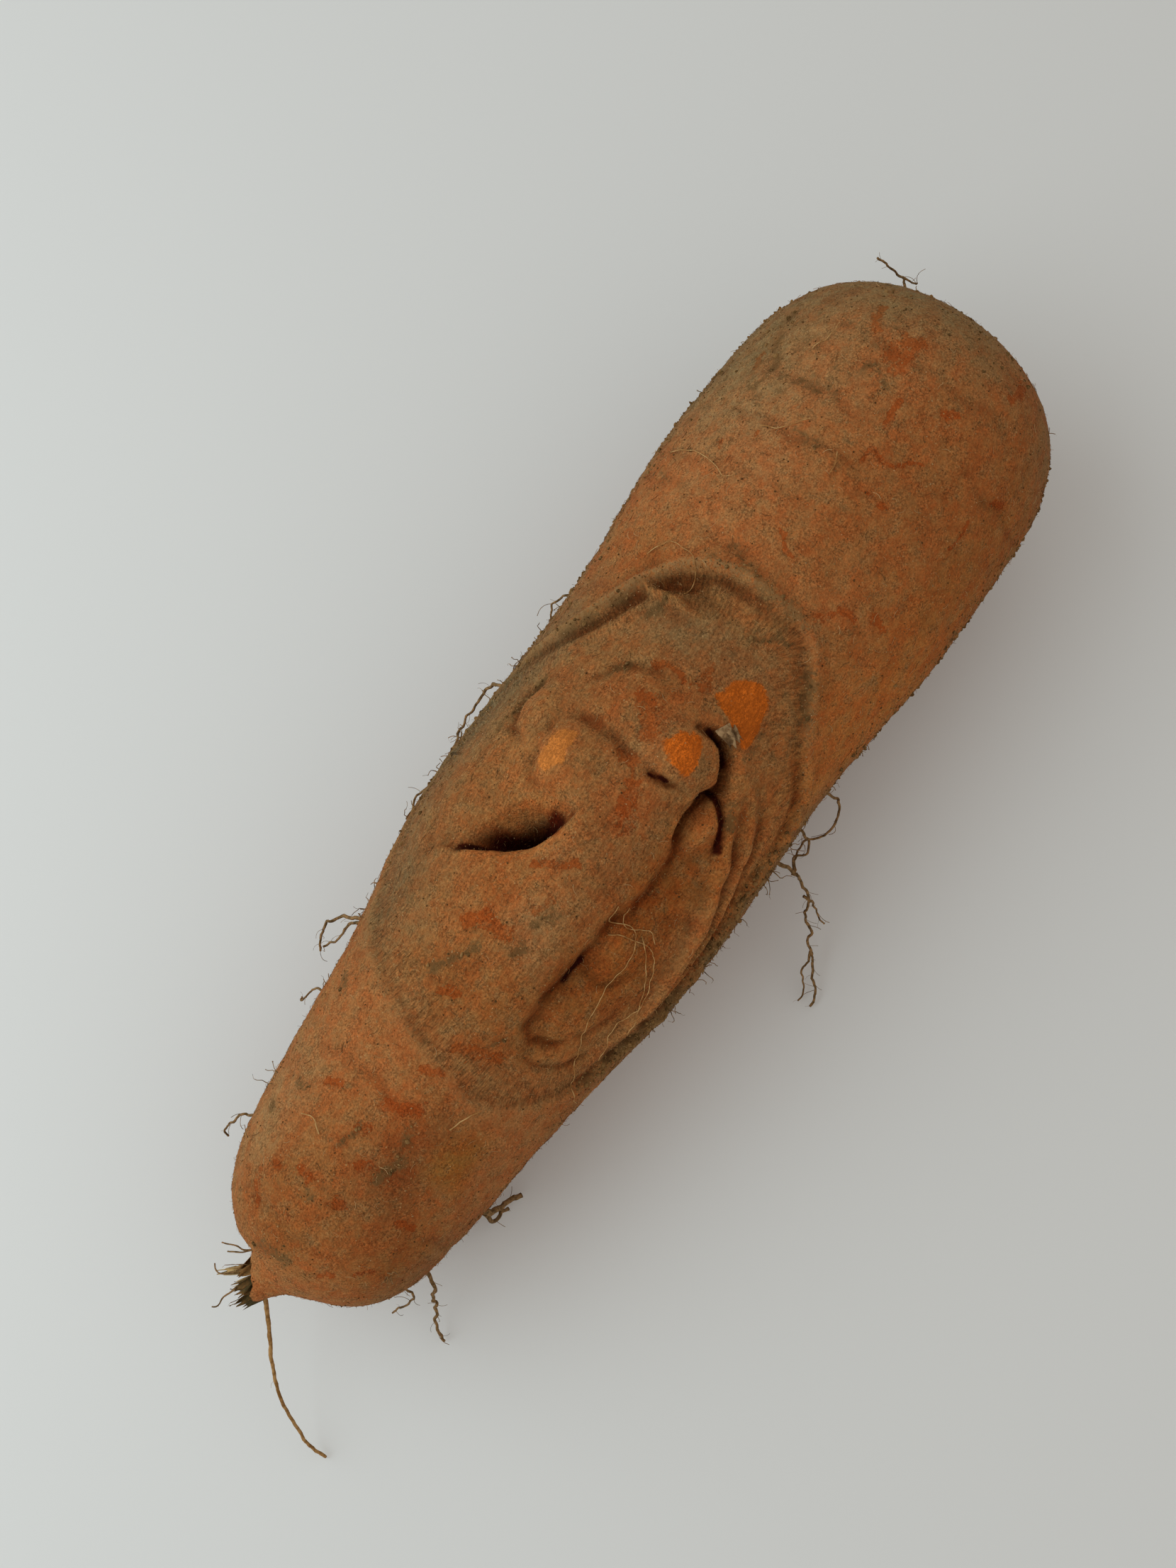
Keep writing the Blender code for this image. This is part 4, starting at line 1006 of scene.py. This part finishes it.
# The rootlets. Thin dry side roots that come out of the skin in tufts and hang down to the
# surface, with finer hairs and small knots on them.
# Each strand: its radius at its start and end, then its points (x, y, z) round the root.
SIDE_ROOTLETS = {
    "right_rootlets": (
        (0.42, 0.24, (
            (4, -24, 25), (6.3, -28.6, 22), (7, -30.6, 21), (6.7, -33, 19), (5.5, -35.7, 16),
            (3.6, -37.9, 13), (1.5, -40.2, 10), (-0.9, -42.6, 7), (-3.3, -44.9, 4.5),
            (-5.7, -46.9, 2.5), (-8.2, -48.2, 1.2),
        )),
        (0.30, 0.20, (
            (19, -24, 27), (21.5, -30.4, 23), (19.3, -31.8, 21), (15.2, -31.8, 19.5),
            (12.6, -30.4, 19), (9.1, -30.6, 18.5), (6.7, -31.9, 19),
        )),
        (0.32, 0.20, (
            (12.4, -26, 24), (13.4, -30.2, 21), (11.2, -31.2, 20.6), (8.4, -30.2, 20),
            (6.8, -31.2, 20.4),
        )),
        (0.30, 0.16, ((5.2, -35.4, 16.4), (5.6, -38.4, 13.4), (4.2, -40.4, 11), (4.6, -41.4, 9.8))),
        (0.30, 0.16, (
            (-0.9, -42.4, 7.2), (-2.6, -43.0, 5.6), (-4.8, -44.0, 3.8), (-6.4, -45.2, 2.2),
            (-8.6, -45.6, 1.4),
        )),
    ),
    "left_rootlets": (
        (0.42, 0.22, (
            (-42, 21, 29), (-44.6, 26.5, 24), (-45.7, 28.4, 23), (-47.3, 29, 22), (-48.8, 29.6, 20),
            (-50.3, 29.6, 18), (-51.5, 29, 17), (-52.1, 28.4, 16),
        )),
        (0.36, 0.20, (
            (-43, 21, 29), (-45.5, 26, 23), (-47.4, 26.6, 22), (-49.4, 27.2, 20), (-51.1, 28.2, 18),
        )),
        (0.38, 0.22, (
            (4, 25, 31), (2.9, 29.4, 28), (1.7, 30.9, 24), (-0.6, 31.2, 23), (-2.7, 31.4, 22),
            (-6.2, 31.2, 21), (-9.9, 30.4, 22), (-14.2, 29.4, 23),
        )),
        (0.30, 0.18, ((-17, 25, 29), (-19.5, 29.2, 25), (-22.6, 29.6, 24), (-25.2, 28.8, 24.6))),
        (0.28, 0.18, ((27, 25, 31), (23.4, 29.2, 27), (19.6, 30.6, 25), (18.4, 29.8, 24))),
        (0.26, 0.16, ((-57, 20, 26), (-58.6, 24.6, 22), (-61.2, 25.6, 20.4), (-60.4, 26.4, 19.4))),
        (0.30, 0.18, ((-79, 17, 27), (-83.6, 22.4, 22), (-86.6, 22.8, 20), (-87.6, 21.6, 18.6))),
    ),
    "low_end_rootlets": (
        (0.45, 0.28, (
            (-86, -13, 16), (-86.6, -21, 14), (-89.2, -22.9, 10), (-92.5, -25.3, 5),
            (-95.6, -28.4, 1.5),
        )),
        (0.28, 0.18, ((-88, -13, 16), (-91.3, -19.8, 11.6), (-94.5, -18.8, 8), (-96.5, -18.6, 5))),
        (0.95, 0.50, (
            (-70, -14, 16), (-72.4, -20.8, 9), (-71.2, -22.8, 6), (-69, -23.9, 4), (-66.8, -25, 2.9),
        )),
        (0.55, 0.35, ((-71, -15, 14), (-73.2, -22.3, 6.4), (-71.5, -23.9, 4), (-70.4, -24.6, 2.8))),
    ),
    "crown_rootlet": (
        (0.34, 0.20, (
            (93, 9, 44), (99.5, 11.6, 39.6), (102.0, 12.9, 38.4), (101.2, 15.4, 40),
            (100.4, 17.8, 42),
        )),
        (0.26, 0.16, ((102.0, 12.9, 38.4), (102.2, 11.4, 38.2), (102.0, 10.4, 39.2))),
    ),
    "tail_root": (
        (0.48, 0.30, (
            (-101, 2.0, 25.6), (-103.2, 0.8, 23.8), (-104.8, -0.6, 22.2), (-107.5, -2.6, 19.5),
            (-109.9, -4.4, 18), (-112.3, -6.2, 16.5), (-114.3, -7.9, 15), (-116.2, -9.8, 13.5),
            (-118, -11.9, 12), (-119.5, -14, 10), (-121, -16.4, 7.5), (-122.7, -19.4, 4.6),
            (-123.3, -21.3, 2.6), (-123.6, -23.4, 0.9),
        )),
    ),
    "neck_hairs": (
        (0.24, 0.14, ((-96.4, 3.6, 29.4), (-98.2, 5.9, 28.6), (-99.4, 7.0, 29), (-100.8, 9.2, 28))),
        (0.22, 0.13, ((-97.4, 5.0, 29.2), (-98.8, 6.8, 29.4), (-99, 8.4, 29.4), (-100, 10.7, 29))),
        (0.20, 0.12, (
            (-103, 6.4, 27.4), (-104.2, 7.6, 28), (-104.2, 8.8, 28.4), (-103.4, 9.6, 28.6),
        )),
        (0.18, 0.12, (
            (-105, 4.6, 26.6), (-107.2, 5.4, 27), (-108.8, 5.2, 27.4), (-109.6, 6.0, 27.2),
        )),
    ),
}
# The wander of a rootlet: the scale of the noise, and its share of the given wander.
WANDERS = ((240.0, 1.0), (620.0, 0.4))
FINE_HAIR_BEND = {"Start": (0, 0, 0), "Middle": (0.5, 0.35, 0.25), "End": (0.85, -0.1, 0.6)}


def chance(tree, probability, seed):
    sockets = {6: probability, 8: seed}
    return add_node(tree, "FunctionNodeRandomValue", sockets, data_type="BOOLEAN").outputs[3]


def strand_tree():
    """Tubes along curves, with a wander, and finer hairs and knots along them."""
    tree, given, end = new_tree("rootlets", {
        "Wander": "Float", "Hair Spacing": "Float", "Hair Length": "Float", "Hair Radius": "Float",
        "Knot Radius": "Float", "Seed": "Int", "Material": "Material",
    })
    sockets = {"Curve": given["Geometry"], "Length": 0.0004}
    fine_curve = add_node(tree, "GeometryNodeResampleCurve", sockets, mode="LENGTH").outputs[0]
    broad_wave, small_wave = [
        noise_shift(tree, scale, product(tree, given["Wander"], share)) for scale, share in WANDERS
    ]
    waves = add_node(tree, "ShaderNodeVectorMath", {0: broad_wave, 1: small_wave}).outputs[0]
    along = add_node(tree, "GeometryNodeSplineParameter").outputs["Factor"]
    sockets = {"Geometry": fine_curve, "Offset": scaled(tree, waves, spread(tree, along, 0.0, 0.2))}
    route = add_node(tree, "GeometryNodeSetPosition", sockets).outputs[0]

    radius = add_node(tree, "GeometryNodeInputRadius").outputs[0]
    lumps = mottle(tree, add_node(tree, "GeometryNodeInputPosition").outputs[0], 1400.0, 1.0)
    girth = product(tree, radius, spread(tree, lumps, 0.3, 0.7, 0.90, 1.10))
    sockets = {"Resolution": 7, "Radius": 0.001}
    ring = add_node(tree, "GeometryNodeCurvePrimitiveCircle", sockets).outputs[0]
    sockets = {"Curve": route, "Profile Curve": ring, "Scale": girth, "Fill Caps": True}
    tube = add_node(tree, "GeometryNodeCurveToMesh", sockets).outputs[0]

    sockets = {"Curve": route, "Length": given["Hair Spacing"]}
    stops = add_node(tree, "GeometryNodeCurveToPoints", sockets, mode="LENGTH").outputs
    sockets = {
        "Points": stops[0], "Selection": chance(tree, 0.6, 24),
        "Instance": bent_hair(tree, FINE_HAIR_BEND, 5, 4, given["Hair Radius"]),
        "Rotation": tilted(tree, stops["Rotation"], random_number(tree, -0.6, 0.5, 21), 22),
        "Scale": product(tree, random_number(tree, 0.25, 1.0, 23), given["Hair Length"]),
    }
    hairs = add_node(tree, "GeometryNodeInstanceOnPoints", sockets).outputs[0]
    sockets = {"Radius": given["Knot Radius"], "Subdivisions": 2}
    knot = add_node(tree, "GeometryNodeMeshIcoSphere", sockets).outputs[0]
    sockets = {
        "Points": stops[0], "Selection": chance(tree, 0.3, 25), "Instance": knot,
        "Scale": random_vector(tree, (0.5, 0.5, 0.5), (1.3, 1.1, 1.2), 26),
    }
    knots = add_node(tree, "GeometryNodeInstanceOnPoints", sockets).outputs[0]

    joined = add_node(tree, "GeometryNodeJoinGeometry")
    for part in (tube, hairs, knots):
        tree.links.new(part, joined.inputs[0])
    finish_tree(tree, given, end, joined.outputs[0])
    return tree


def strand_curve(name, strands):
    """A curve of one spline for each strand: radius at the start and end, and its points."""
    curve = bpy.data.curves.new(name, "CURVE")
    curve.dimensions = "3D"
    for thick, thin, route in strands:
        line = (smooth_line(route, 6) + MIDDLE) * MM
        spline = curve.splines.new("POLY")
        spline.points.add(len(line) - 1)
        widths = thin + (thick - thin) * np.linspace(1, 0, len(line)) ** 3
        for knot, point, width in zip(spline.points, line, widths):
            knot.co = (*point, 1)
            knot.radius = width
    return curve


def two_tone(name, roughness, scale, dark, light, depth, strength):
    """A dry material mottled from a dark to a light colour, with bumps to match."""
    material, tree, shader = new_material(name, roughness)
    grain = mottle(tree, object_places(tree), scale, 3, 0.6)
    colour = tinted(tree, spread(tree, grain, 0.35, 0.65), dark, light)
    coat(tree, shader, colour, grain, depth, strength)
    return material


rootlet_material = two_tone(
    "dry_rootlet", 0.75, 1300, (0.110, 0.064, 0.026), (0.330, 0.190, 0.080), 0.0002, 0.7
)
tail_material = two_tone(
    "tail_root_skin", 0.7, 900, (0.22, 0.105, 0.030), (0.44, 0.245, 0.090), 0.0002, 0.7
)
rootlet_tree = strand_tree()
for number, (name, strands) in enumerate(SIDE_ROOTLETS.items()):
    on_tail = name == "tail_root"
    sparse = on_tail or name == "neck_hairs"
    grow(name, strand_curve(name, strands), rootlet_tree, {
        "Wander": 0.0006 if sparse else 0.0026, "Hair Spacing": 0.02 if sparse else 0.0017,
        "Hair Length": 0.0016 if sparse else 0.0036, "Hair Radius": 0.017,
        "Knot Radius": 0.00018, "Seed": number,
    }, tail_material if on_tail else rootlet_material)

# Threads on the skin: long fine light fibres that lie on the root and in the wound. They are
# root hairs that dried. Each: its radius, then its line of places (x, w).
THREADS = (
    (0.08, ((31, 18.5), (34, 16), (34.3, 14), (33, 10), (28, 9))),
    (0.08, ((49.5, 28), (50, 22), (49, 17), (47.5, 14), (48.5, 12.5))),
    (0.09, ((58, 14), (59, 11), (62.5, 8))), (0.08, ((74, 15), (77, 13.8), (80, 14))),
    (0.08, ((56, 1), (58, 1.2), (60, 2))),
    (0.08, (
        (-19, -11.3), (-21.6, -11.9), (-20.1, -15.7), (-21.3, -17.6), (-25.7, -19.2), (-29.8, -19.8),
        (-36, -21), (-38.9, -22.8), (-42.1, -25.2), (-45.5, -29.3), (-47.3, -32.7), (-47.6, -36),
    )),
    (0.08, (
        (-23.3, -13.5), (-22.2, -15), (-21.6, -17.4), (-20.9, -19.9), (-21.1, -22), (-22.2, -23.6),
        (-25.1, -25.7), (-29, -27.6), (-32.5, -26.7), (-36, -27.1), (-40, -29.6),
    )),
    (0.08, (
        (-17.9, -13.8), (-19.7, -14), (-20.7, -15.3), (-19.5, -17.8), (-18.8, -19.7), (-19.9, -21.6),
    )),
    (0.08, ((-20.2, -18.5), (-24.4, -23.8), (-27.7, -26.5), (-30.6, -28), (-34, -29.4))),
    (0.12, ((-62.5, -12), (-60, -13), (-57.6, -14.4))), (0.12, ((-75, 9), (-73.6, 12), (-74.2, 15))),
)

skin_surface = BVHTree.FromPolygons(((points + MIDDLE) * MM).tolist(), faces)


def on_skin(x, w, lift):
    """The point above a place on the finished skin, in millimetres round the root."""
    outside, inside = [skin_points(np.array(float(x)), np.array(float(w)), off) for off in (14.0, -14.0)]
    inward = (inside - outside) / np.linalg.norm(inside - outside)
    hit, _, _, _ = skin_surface.ray_cast(Vector((outside + MIDDLE) * MM), Vector(inward))
    return np.array(hit) / MM - MIDDLE - inward * lift


threads = []
for radius, line in THREADS:
    route = [
        on_skin(x, w, 0.25 + 0.3 * abs(math.sin(2.1 * number)))
        for number, (x, w) in enumerate(smooth_line(line, 4))
    ]
    threads.append((radius, radius * 0.8, route))
thread_material, tree, shader = new_material("light_thread", 0.65)
share = spread(tree, mottle(tree, object_places(tree), 700), 0.35, 0.65)
coat(tree, shader, tinted(tree, share, (0.36, 0.170, 0.050), (0.56, 0.34, 0.135)))
grow("skin_threads", strand_curve("skin_threads", threads), rootlet_tree, {
    "Wander": 0.0004, "Hair Spacing": 0.03, "Hair Length": 0.001, "Hair Radius": 0.03,
    "Knot Radius": 0.0001, "Seed": 31,
}, thread_material)

# Tufts along the edges: short curly rootlets that start at one spot of the skin and part.
# Each tuft: the place (x, w) that it grows from, its number of strands, its longest strand.
TUFTS = (
    (-12, -36, 5, 4.5), (-7, -37, 4, 3.5), (2, -39, 5, 5.0), (-21, -36, 3, 3.0), (-31, -36, 4, 2.8),
    (13, -39, 3, 3.5), (13, 40, 3, 3.0), (6, 39, 5, 4.5), (-2, 39, 4, 4.0), (-9, 39, 4, 4.0),
    (-16, 38, 3, 3.0), (-24, 38, 3, 2.6), (-4, 35, 4, 3.6), (4, 34, 4, 3.0), (-13, 34, 4, 3.2),
    (20, 39, 4, 3.0), (-33, 37, 3, 2.4), (-38, 37, 4, 2.8), (-16, -39, 5, 4.0), (-26, -38, 4, 3.4),
    (8, -40, 4, 3.6), (20, -41, 3, 2.8), (40, 41, 3, 2.4), (78, 38, 3, 2.2), (-43, 37, 4, 3.6),
    (-56, 35, 3, 2.6), (-73, 33, 4, 3.6), (-84, 30, 3, 3.0), (46, 41, 2, 2.2), (66, 40, 2, 2.0),
    (90, -30, 2, 2.2), (72, -44, 3, 2.4), (30, -42, 3, 2.6), (-52, -34, 3, 2.6), (-88, -24, 4, 3.0),
    (96, 12, 2, 2.0),
)
TUFT_STEPS = 6
TUFT_LOWEST = 0.6
SAG = np.array([0, 0, -0.15])

rng = np.random.default_rng(71)
tufts = []
for x, w, count, longest in TUFTS:
    for _ in range(count):
        spot = on_skin(x + rng.uniform(-1.5, 1.5), w + rng.uniform(-1.0, 1.0), -0.4)
        outward = on_skin(x, w, 1.0) - on_skin(x, w, 0.0)
        heading = outward + rng.uniform(-0.8, 0.8, 3)
        route = [spot]
        step = longest * rng.uniform(0.5, 1.0) / TUFT_STEPS
        for _ in range(TUFT_STEPS):
            heading = heading / np.linalg.norm(heading) + rng.uniform(-0.7, 0.7, 3) + SAG
            spot = spot + heading / np.linalg.norm(heading) * step
            route.append(np.array([spot[0], spot[1], max(spot[2], TUFT_LOWEST)]))
        tufts.append((rng.uniform(0.10, 0.17), 0.06, route))
grow("edge_tufts", strand_curve("edge_tufts", tufts), rootlet_tree, {
    "Wander": 0.0012, "Hair Spacing": 0.0016, "Hair Length": 0.0014, "Hair Radius": 0.028,
    "Knot Radius": 0.00012, "Seed": 51,
}, rootlet_material)

# The torn neck: dry brown strips and stiff split fibres where the thin end of the root broke
# off. They are one tissue with the neck, so they start inside its torn face.
FIBRES = 7
# Each strip: its place across the torn face and up it, its lean across, its length and width
# in millimetres, its curl and how dry it is: 0 dark and damp, 1 pale and dry.
STRIPS = (
    (2.5, 1.2, -0.06, 5.2, 3.0, 0.10, 0.45), (2.7, -0.4, 0.10, 4.2, 2.6, -0.15, 0.35),
    (1.3, 1.8, 0.30, 5.6, 1.9, 0.22, 0.70), (0.6, 0.8, 0.45, 7.2, 1.5, 0.10, 0.85),
    (0.3, 2.2, 0.42, 6.0, 1.4, -0.20, 1.00), (-0.4, 1.4, 0.30, 5.2, 1.6, 0.15, 0.75),
    (-0.9, 2.3, 0.20, 4.6, 1.6, -0.10, 0.20), (-1.7, 1.6, 0.10, 4.4, 1.8, 0.18, 0.05),
    (-2.4, 2.0, 0.05, 3.8, 1.6, -0.12, 0.25), (-2.9, 0.8, 0.00, 3.4, 1.8, 0.10, 0.00),
    (-0.2, -1.0, 0.25, 4.6, 2.4, 0.12, 0.15), (-2.0, -1.2, 0.10, 4.0, 2.4, -0.12, 0.10),
    (1.6, -2.2, 0.15, 3.6, 2.2, 0.15, 0.30), (-0.6, -2.6, 0.10, 3.2, 2.2, -0.15, 0.10),
)
STRIP_ROWS = 9
STRIP_COLUMNS = 6

rng = np.random.default_rng(23)
neck_axis = NECK_RUN / np.linalg.norm(NECK_RUN)
neck_up = np.cross(neck_axis, TORN_SIDE)
neck_up /= np.linalg.norm(neck_up)


def torn_place(across, rise, depth):
    """A point below the torn face, at a place across it and up it."""
    way = TORN_HEIGHT + TORN_SLOPE * across - depth
    return NECK_START + neck_axis * way + TORN_SIDE * across + neck_up * rise


fibres = []
for _ in range(FIBRES):
    across = rng.uniform(-2.8, 1.6)
    foot = torn_place(across, rng.uniform(-1.6, 2.2), 2.2)
    lean = neck_axis + TORN_SIDE * rng.uniform(0.1, 0.6) + neck_up * rng.uniform(-0.3, 0.3)
    length = rng.uniform(3.6, 6.4)
    middle = foot + lean * length * 0.5 + rng.uniform(-0.4, 0.4, 3)
    tip = foot + lean * length + rng.uniform(-1.1, 1.1, 3)
    fibres.append((rng.uniform(0.10, 0.18), 0.06, (foot, middle, tip)))
fibre_material, tree, shader = new_material("torn_fibre", 0.8)
split = mottle(tree, object_places(tree), 500, 3, 0.6)
colour = tinted(tree, spread(tree, split, 0.4, 0.6), (0.090, 0.050, 0.018), (0.26, 0.145, 0.055))
coat(tree, shader, tinted(tree, spread(tree, split, 0.56, 0.64), colour, (0.52, 0.36, 0.17)))
grow("torn_fibres", strand_curve("torn_fibres", fibres), rootlet_tree, {
    "Wander": 0.0009, "Hair Spacing": 0.004, "Hair Length": 0.0010, "Hair Radius": 0.04,
    "Knot Radius": 0.0001, "Seed": 41,
}, fibre_material)


def sheet_corners(shape, foot, along, across, length, width, curl, phase, dryness, side):
    """One face of a curled strip, row by row from its foot to its tip."""
    dry_layer = shape.verts.layers.float.get("dryness") or shape.verts.layers.float.new("dryness")
    out = np.cross(along, across)
    sheet = []
    for way in np.arange(STRIP_ROWS) / (STRIP_ROWS - 1):
        for off in np.arange(STRIP_COLUMNS) / (STRIP_COLUMNS - 1) - 0.5:
            ragged = 1 - 0.30 * (0.5 + 0.5 * math.sin(phase + 11 * off)) * way
            bend = curl * way * way * length + 0.35 * math.sin(phase + 5 * way + 7 * off)
            cup = 1.1 * width * (off * off) * math.sin(phase)
            spot = foot + along * (way * length * ragged) + across * (off * width * (1 - 0.62 * way))
            corner = shape.verts.new(Vector((spot + out * (bend + cup + side) + MIDDLE) * MM))
            corner[dry_layer] = dryness + 0.35 * (way - 0.5)
            sheet.append(corner)
    return sheet


def add_strip(shape, foot, along, across, length, width, curl, phase, dryness=0.5):
    """A thin dry strip of tissue, curled and crumpled, 0.2 mm thick, added to the shape."""
    along = np.array(along) / np.linalg.norm(along)
    across = np.array(across) - along * np.dot(across, along)
    across /= np.linalg.norm(across)
    front, back = [
        sheet_corners(shape, foot, along, across, length, width, curl, phase, dryness, side)
        for side in (0.1, -0.1)
    ]
    rows, columns = STRIP_ROWS, STRIP_COLUMNS
    for row in range(rows - 1):
        for column in range(columns - 1):
            a = row * columns + column
            corner = (a, a + 1, a + columns + 1, a + columns)
            shape.faces.new([front[i] for i in corner])
            shape.faces.new([back[i] for i in reversed(corner)])
    edge = list(range(columns)) + [columns * row + columns - 1 for row in range(1, rows)]
    edge += [columns * (rows - 1) + column for column in range(columns - 2, -1, -1)]
    edge += [columns * row for row in range(rows - 2, 0, -1)]
    for start, after in zip(edge, edge[1:] + edge[:1]):
        shape.faces.new((front[start], front[after], back[after], back[start]))


def finish_strips(name, shape, material):
    bmesh.ops.recalc_face_normals(shape, faces=shape.faces)
    mesh = bpy.data.meshes.new(name)
    shape.to_mesh(mesh)
    shape.free()
    mesh.shade_smooth()
    return add_piece(name, mesh, material)


shape = bmesh.new()
for across, rise, lean, length, width, curl, dryness in STRIPS:
    foot = torn_place(across, rise, 1.8)
    along = neck_axis + TORN_SIDE * lean + neck_up * rng.uniform(-0.15, 0.15)
    side = TORN_SIDE + neck_up * rng.uniform(-0.6, 0.6)
    add_strip(shape, foot, along, side, length + 1.2, width, curl, rng.uniform(0, 6), dryness)
strip_material, tree, shader = new_material("torn_strip", 0.8)
split = mottle(tree, object_places(tree), 900, 3, 0.6)
dryness = total(tree, attribute(tree, "dryness"), sway(tree, split, 0.8))
colour = tinted(tree, spread(tree, dryness, 0.05, 0.45), (0.070, 0.052, 0.020), (0.23, 0.110, 0.034))
colour = tinted(tree, spread(tree, dryness, 0.55, 1.0), colour, (0.56, 0.38, 0.165))
coat(tree, shader, colour, split)
finish_strips("torn_strips", shape, strip_material)

# The flake by the slit: a loose grey flap of dead skin that is still held at one side.
shape = bmesh.new()
foot = on_skin(13.6, -8.2, -0.1)
across = on_skin(16, -10, 0.3) - foot
add_strip(shape, foot, on_skin(11.6, -12.4, 0.9) - foot, across, 4.2, 2.8, 0.05, 1.2)
upper_foot = on_skin(14.2, -9.4, 0.0)
add_strip(shape, upper_foot, on_skin(12.6, -12.8, 1.3) - foot, across, 2.8, 2.0, 0.2, 3.4)
flake_material = two_tone(
    "dead_skin_flake", 0.85, 900, (0.170, 0.095, 0.042), (0.44, 0.275, 0.135), 0.0003, 0.8
)
finish_strips("dead_skin_flake", shape, flake_material)

# The leaf stubs. The leaf stalks broke off short, so dry ribbed stumps with torn, hollow ends
# stand in the dip of the crown, packed in a spiral on the disc that they grew from.
STUB_COUNT = 17
STUB_SPIRAL = 1.12
STUB_SIDES = 22
STUB_LENGTH = (2.2, 4.0)
# How far up the stub each ring is, and its half width: up the outside, then down the hollow.
STUB_PROFILE = ((0.0, 1.30), (0.35, 1.20), (0.7, 1.12), (1.0, 1.02), (0.97, 0.80), (0.72, 0.62))
STUB_FLATNESS = 0.72
DISC_PLACE = np.array([96.5, AXIS_BEND, AXIS_HEIGHT + AXIS_RISE * HALF_LENGTH])
DISC_PROFILE = ((0.0, 4.9), (0.8, 4.9), (1.4, 4.2), (1.7, 2.4))
GOLDEN_TURN = math.pi * (3 - math.sqrt(5))


def add_stack(shape, rings):
    """A closed skin over rings of points, with a point to close it at each end."""
    layers = [[shape.verts.new(Vector((spot + MIDDLE) * MM)) for spot in ring] for ring in rings]
    for low, high in zip(layers, layers[1:]):
        for side in range(len(low)):
            after = (side + 1) % len(low)
            shape.faces.new((low[side], low[after], high[after], high[side]))
    for ring, layer in ((rings[0], layers[0]), (rings[-1], layers[-1])):
        middle = shape.verts.new(Vector((np.mean(ring, axis=0) + MIDDLE) * MM))
        for side in range(len(layer)):
            shape.faces.new((layer[side], layer[(side + 1) % len(layer)], middle))


shape = bmesh.new()
rng = np.random.default_rng(57)
turns = np.linspace(0, 2 * np.pi, STUB_SIDES, endpoint=False)
circle = np.stack([np.zeros(STUB_SIDES), np.cos(turns), np.sin(turns)], axis=1)
add_stack(shape, [
    DISC_PLACE + np.array([rise, 0, 0]) + radius * (1 + 0.04 * np.sin(5 * turns)[:, None]) * circle
    for rise, radius in DISC_PROFILE
])
for number in range(STUB_COUNT):
    turn = number * GOLDEN_TURN
    off = STUB_SPIRAL * math.sqrt(number)
    out = np.array([0, math.cos(turn), math.sin(turn)])
    side = np.array([0, -math.sin(turn), math.cos(turn)])
    foot = DISC_PLACE + np.array([0.9, 0, 0]) + off * out
    lean = np.array([1.0, 0, 0]) + 0.1 * off * out
    length = rng.uniform(*STUB_LENGTH) * (0.55 + 0.45 * min(off / 2, 1))
    torn = length * (1 + 0.12 * np.sin(5 * turns + turn) + rng.uniform(-0.10, 0.10, STUB_SIDES))
    hollow = 1 - 0.45 * np.exp(-((np.abs(turns - np.pi)) / 0.8) ** 2)
    ribs = (1 + 0.07 * np.sin(9 * turns)) * hollow
    rings = []
    for way, width in STUB_PROFILE:
        flat = width * ribs * np.cos(turns) * STUB_FLATNESS
        broad_side = width * ribs * np.sin(turns)
        ring = (torn * way)[:, None] * lean + flat[:, None] * out + broad_side[:, None] * side
        rings.append(foot + ring)
    add_stack(shape, rings)
stub_material, tree, shader = new_material("dry_leaf_stub", 0.82)
where = object_places(tree)
drawn_out = add_node(tree, "ShaderNodeMapping", {"Vector": where, "Scale": (260, 1900, 1900)}).outputs[0]
strands = mottle(tree, drawn_out, 1.0, 3, 0.6)
colour = tinted(tree, spread(tree, strands, 0.35, 0.65), (0.075, 0.052, 0.020), (0.30, 0.205, 0.085))
greenish = spread(tree, mottle(tree, where, 420), 0.50, 0.66, 0.0, 0.6)
coat(tree, shader, tinted(tree, greenish, colour, (0.110, 0.105, 0.034)), strands, 0.0003, 0.9)
leaf_bases = finish_strips("leaf_stalk_bases", shape, stub_material)
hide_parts("leaf_stubs")

# The floor and the light: a plain pale surface under a big soft light on the left, and a pale
# surround that fills the shadows.
FLOOR_HALF_SIZE = 3.0
FLOOR_COLOUR = (0.80, 0.81, 0.80, 1)
SURROUND_COLOUR = (1.0, 0.950, 0.890, 1)
SURROUND_STRENGTH = 0.475
# Each light: name, place, size of its square, power and colour.
SOFTBOXES = (
    ("key_light", (-0.25, 0.34, 0.34), 0.62, 1.78, (0.84, 0.96, 1.0)),
    ("fill_light", (0.10, -0.55, 0.50), 0.6, 0.12, (1.0, 0.88, 0.74)),
)

floor_mesh = bpy.data.meshes.new("floor")
half = FLOOR_HALF_SIZE
corners = [(-half, -half, 0), (half, -half, 0), (half, half, 0), (-half, half, 0)]
floor_mesh.from_pydata(corners, [], [(0, 1, 2, 3)])
floor = bpy.data.objects.new("floor", floor_mesh)
bpy.context.scene.collection.objects.link(floor)
floor_material, tree, shader = new_material("pale_floor", 0.6, 0.3)
shader.inputs["Base Color"].default_value = FLOOR_COLOUR
floor_mesh.materials.append(floor_material)

world = bpy.data.worlds.new("surround")
world.use_nodes = True
surround = world.node_tree.nodes["Background"].inputs
surround["Color"].default_value = SURROUND_COLOUR
surround["Strength"].default_value = SURROUND_STRENGTH
bpy.context.scene.world = world
for name, place, size, power, colour in SOFTBOXES:
    light = bpy.data.lights.new(name, "AREA")
    light.size = size
    light.energy = power
    light.color = colour
    softbox = bpy.data.objects.new(name, light)
    bpy.context.scene.collection.objects.link(softbox)
    aim = Vector((0.0, 0.0, 0.02)) - Vector(place)
    turned = aim.to_track_quat("-Z", "Y").to_matrix().to_4x4()
    softbox.matrix_world = Matrix.Translation(place) @ turned
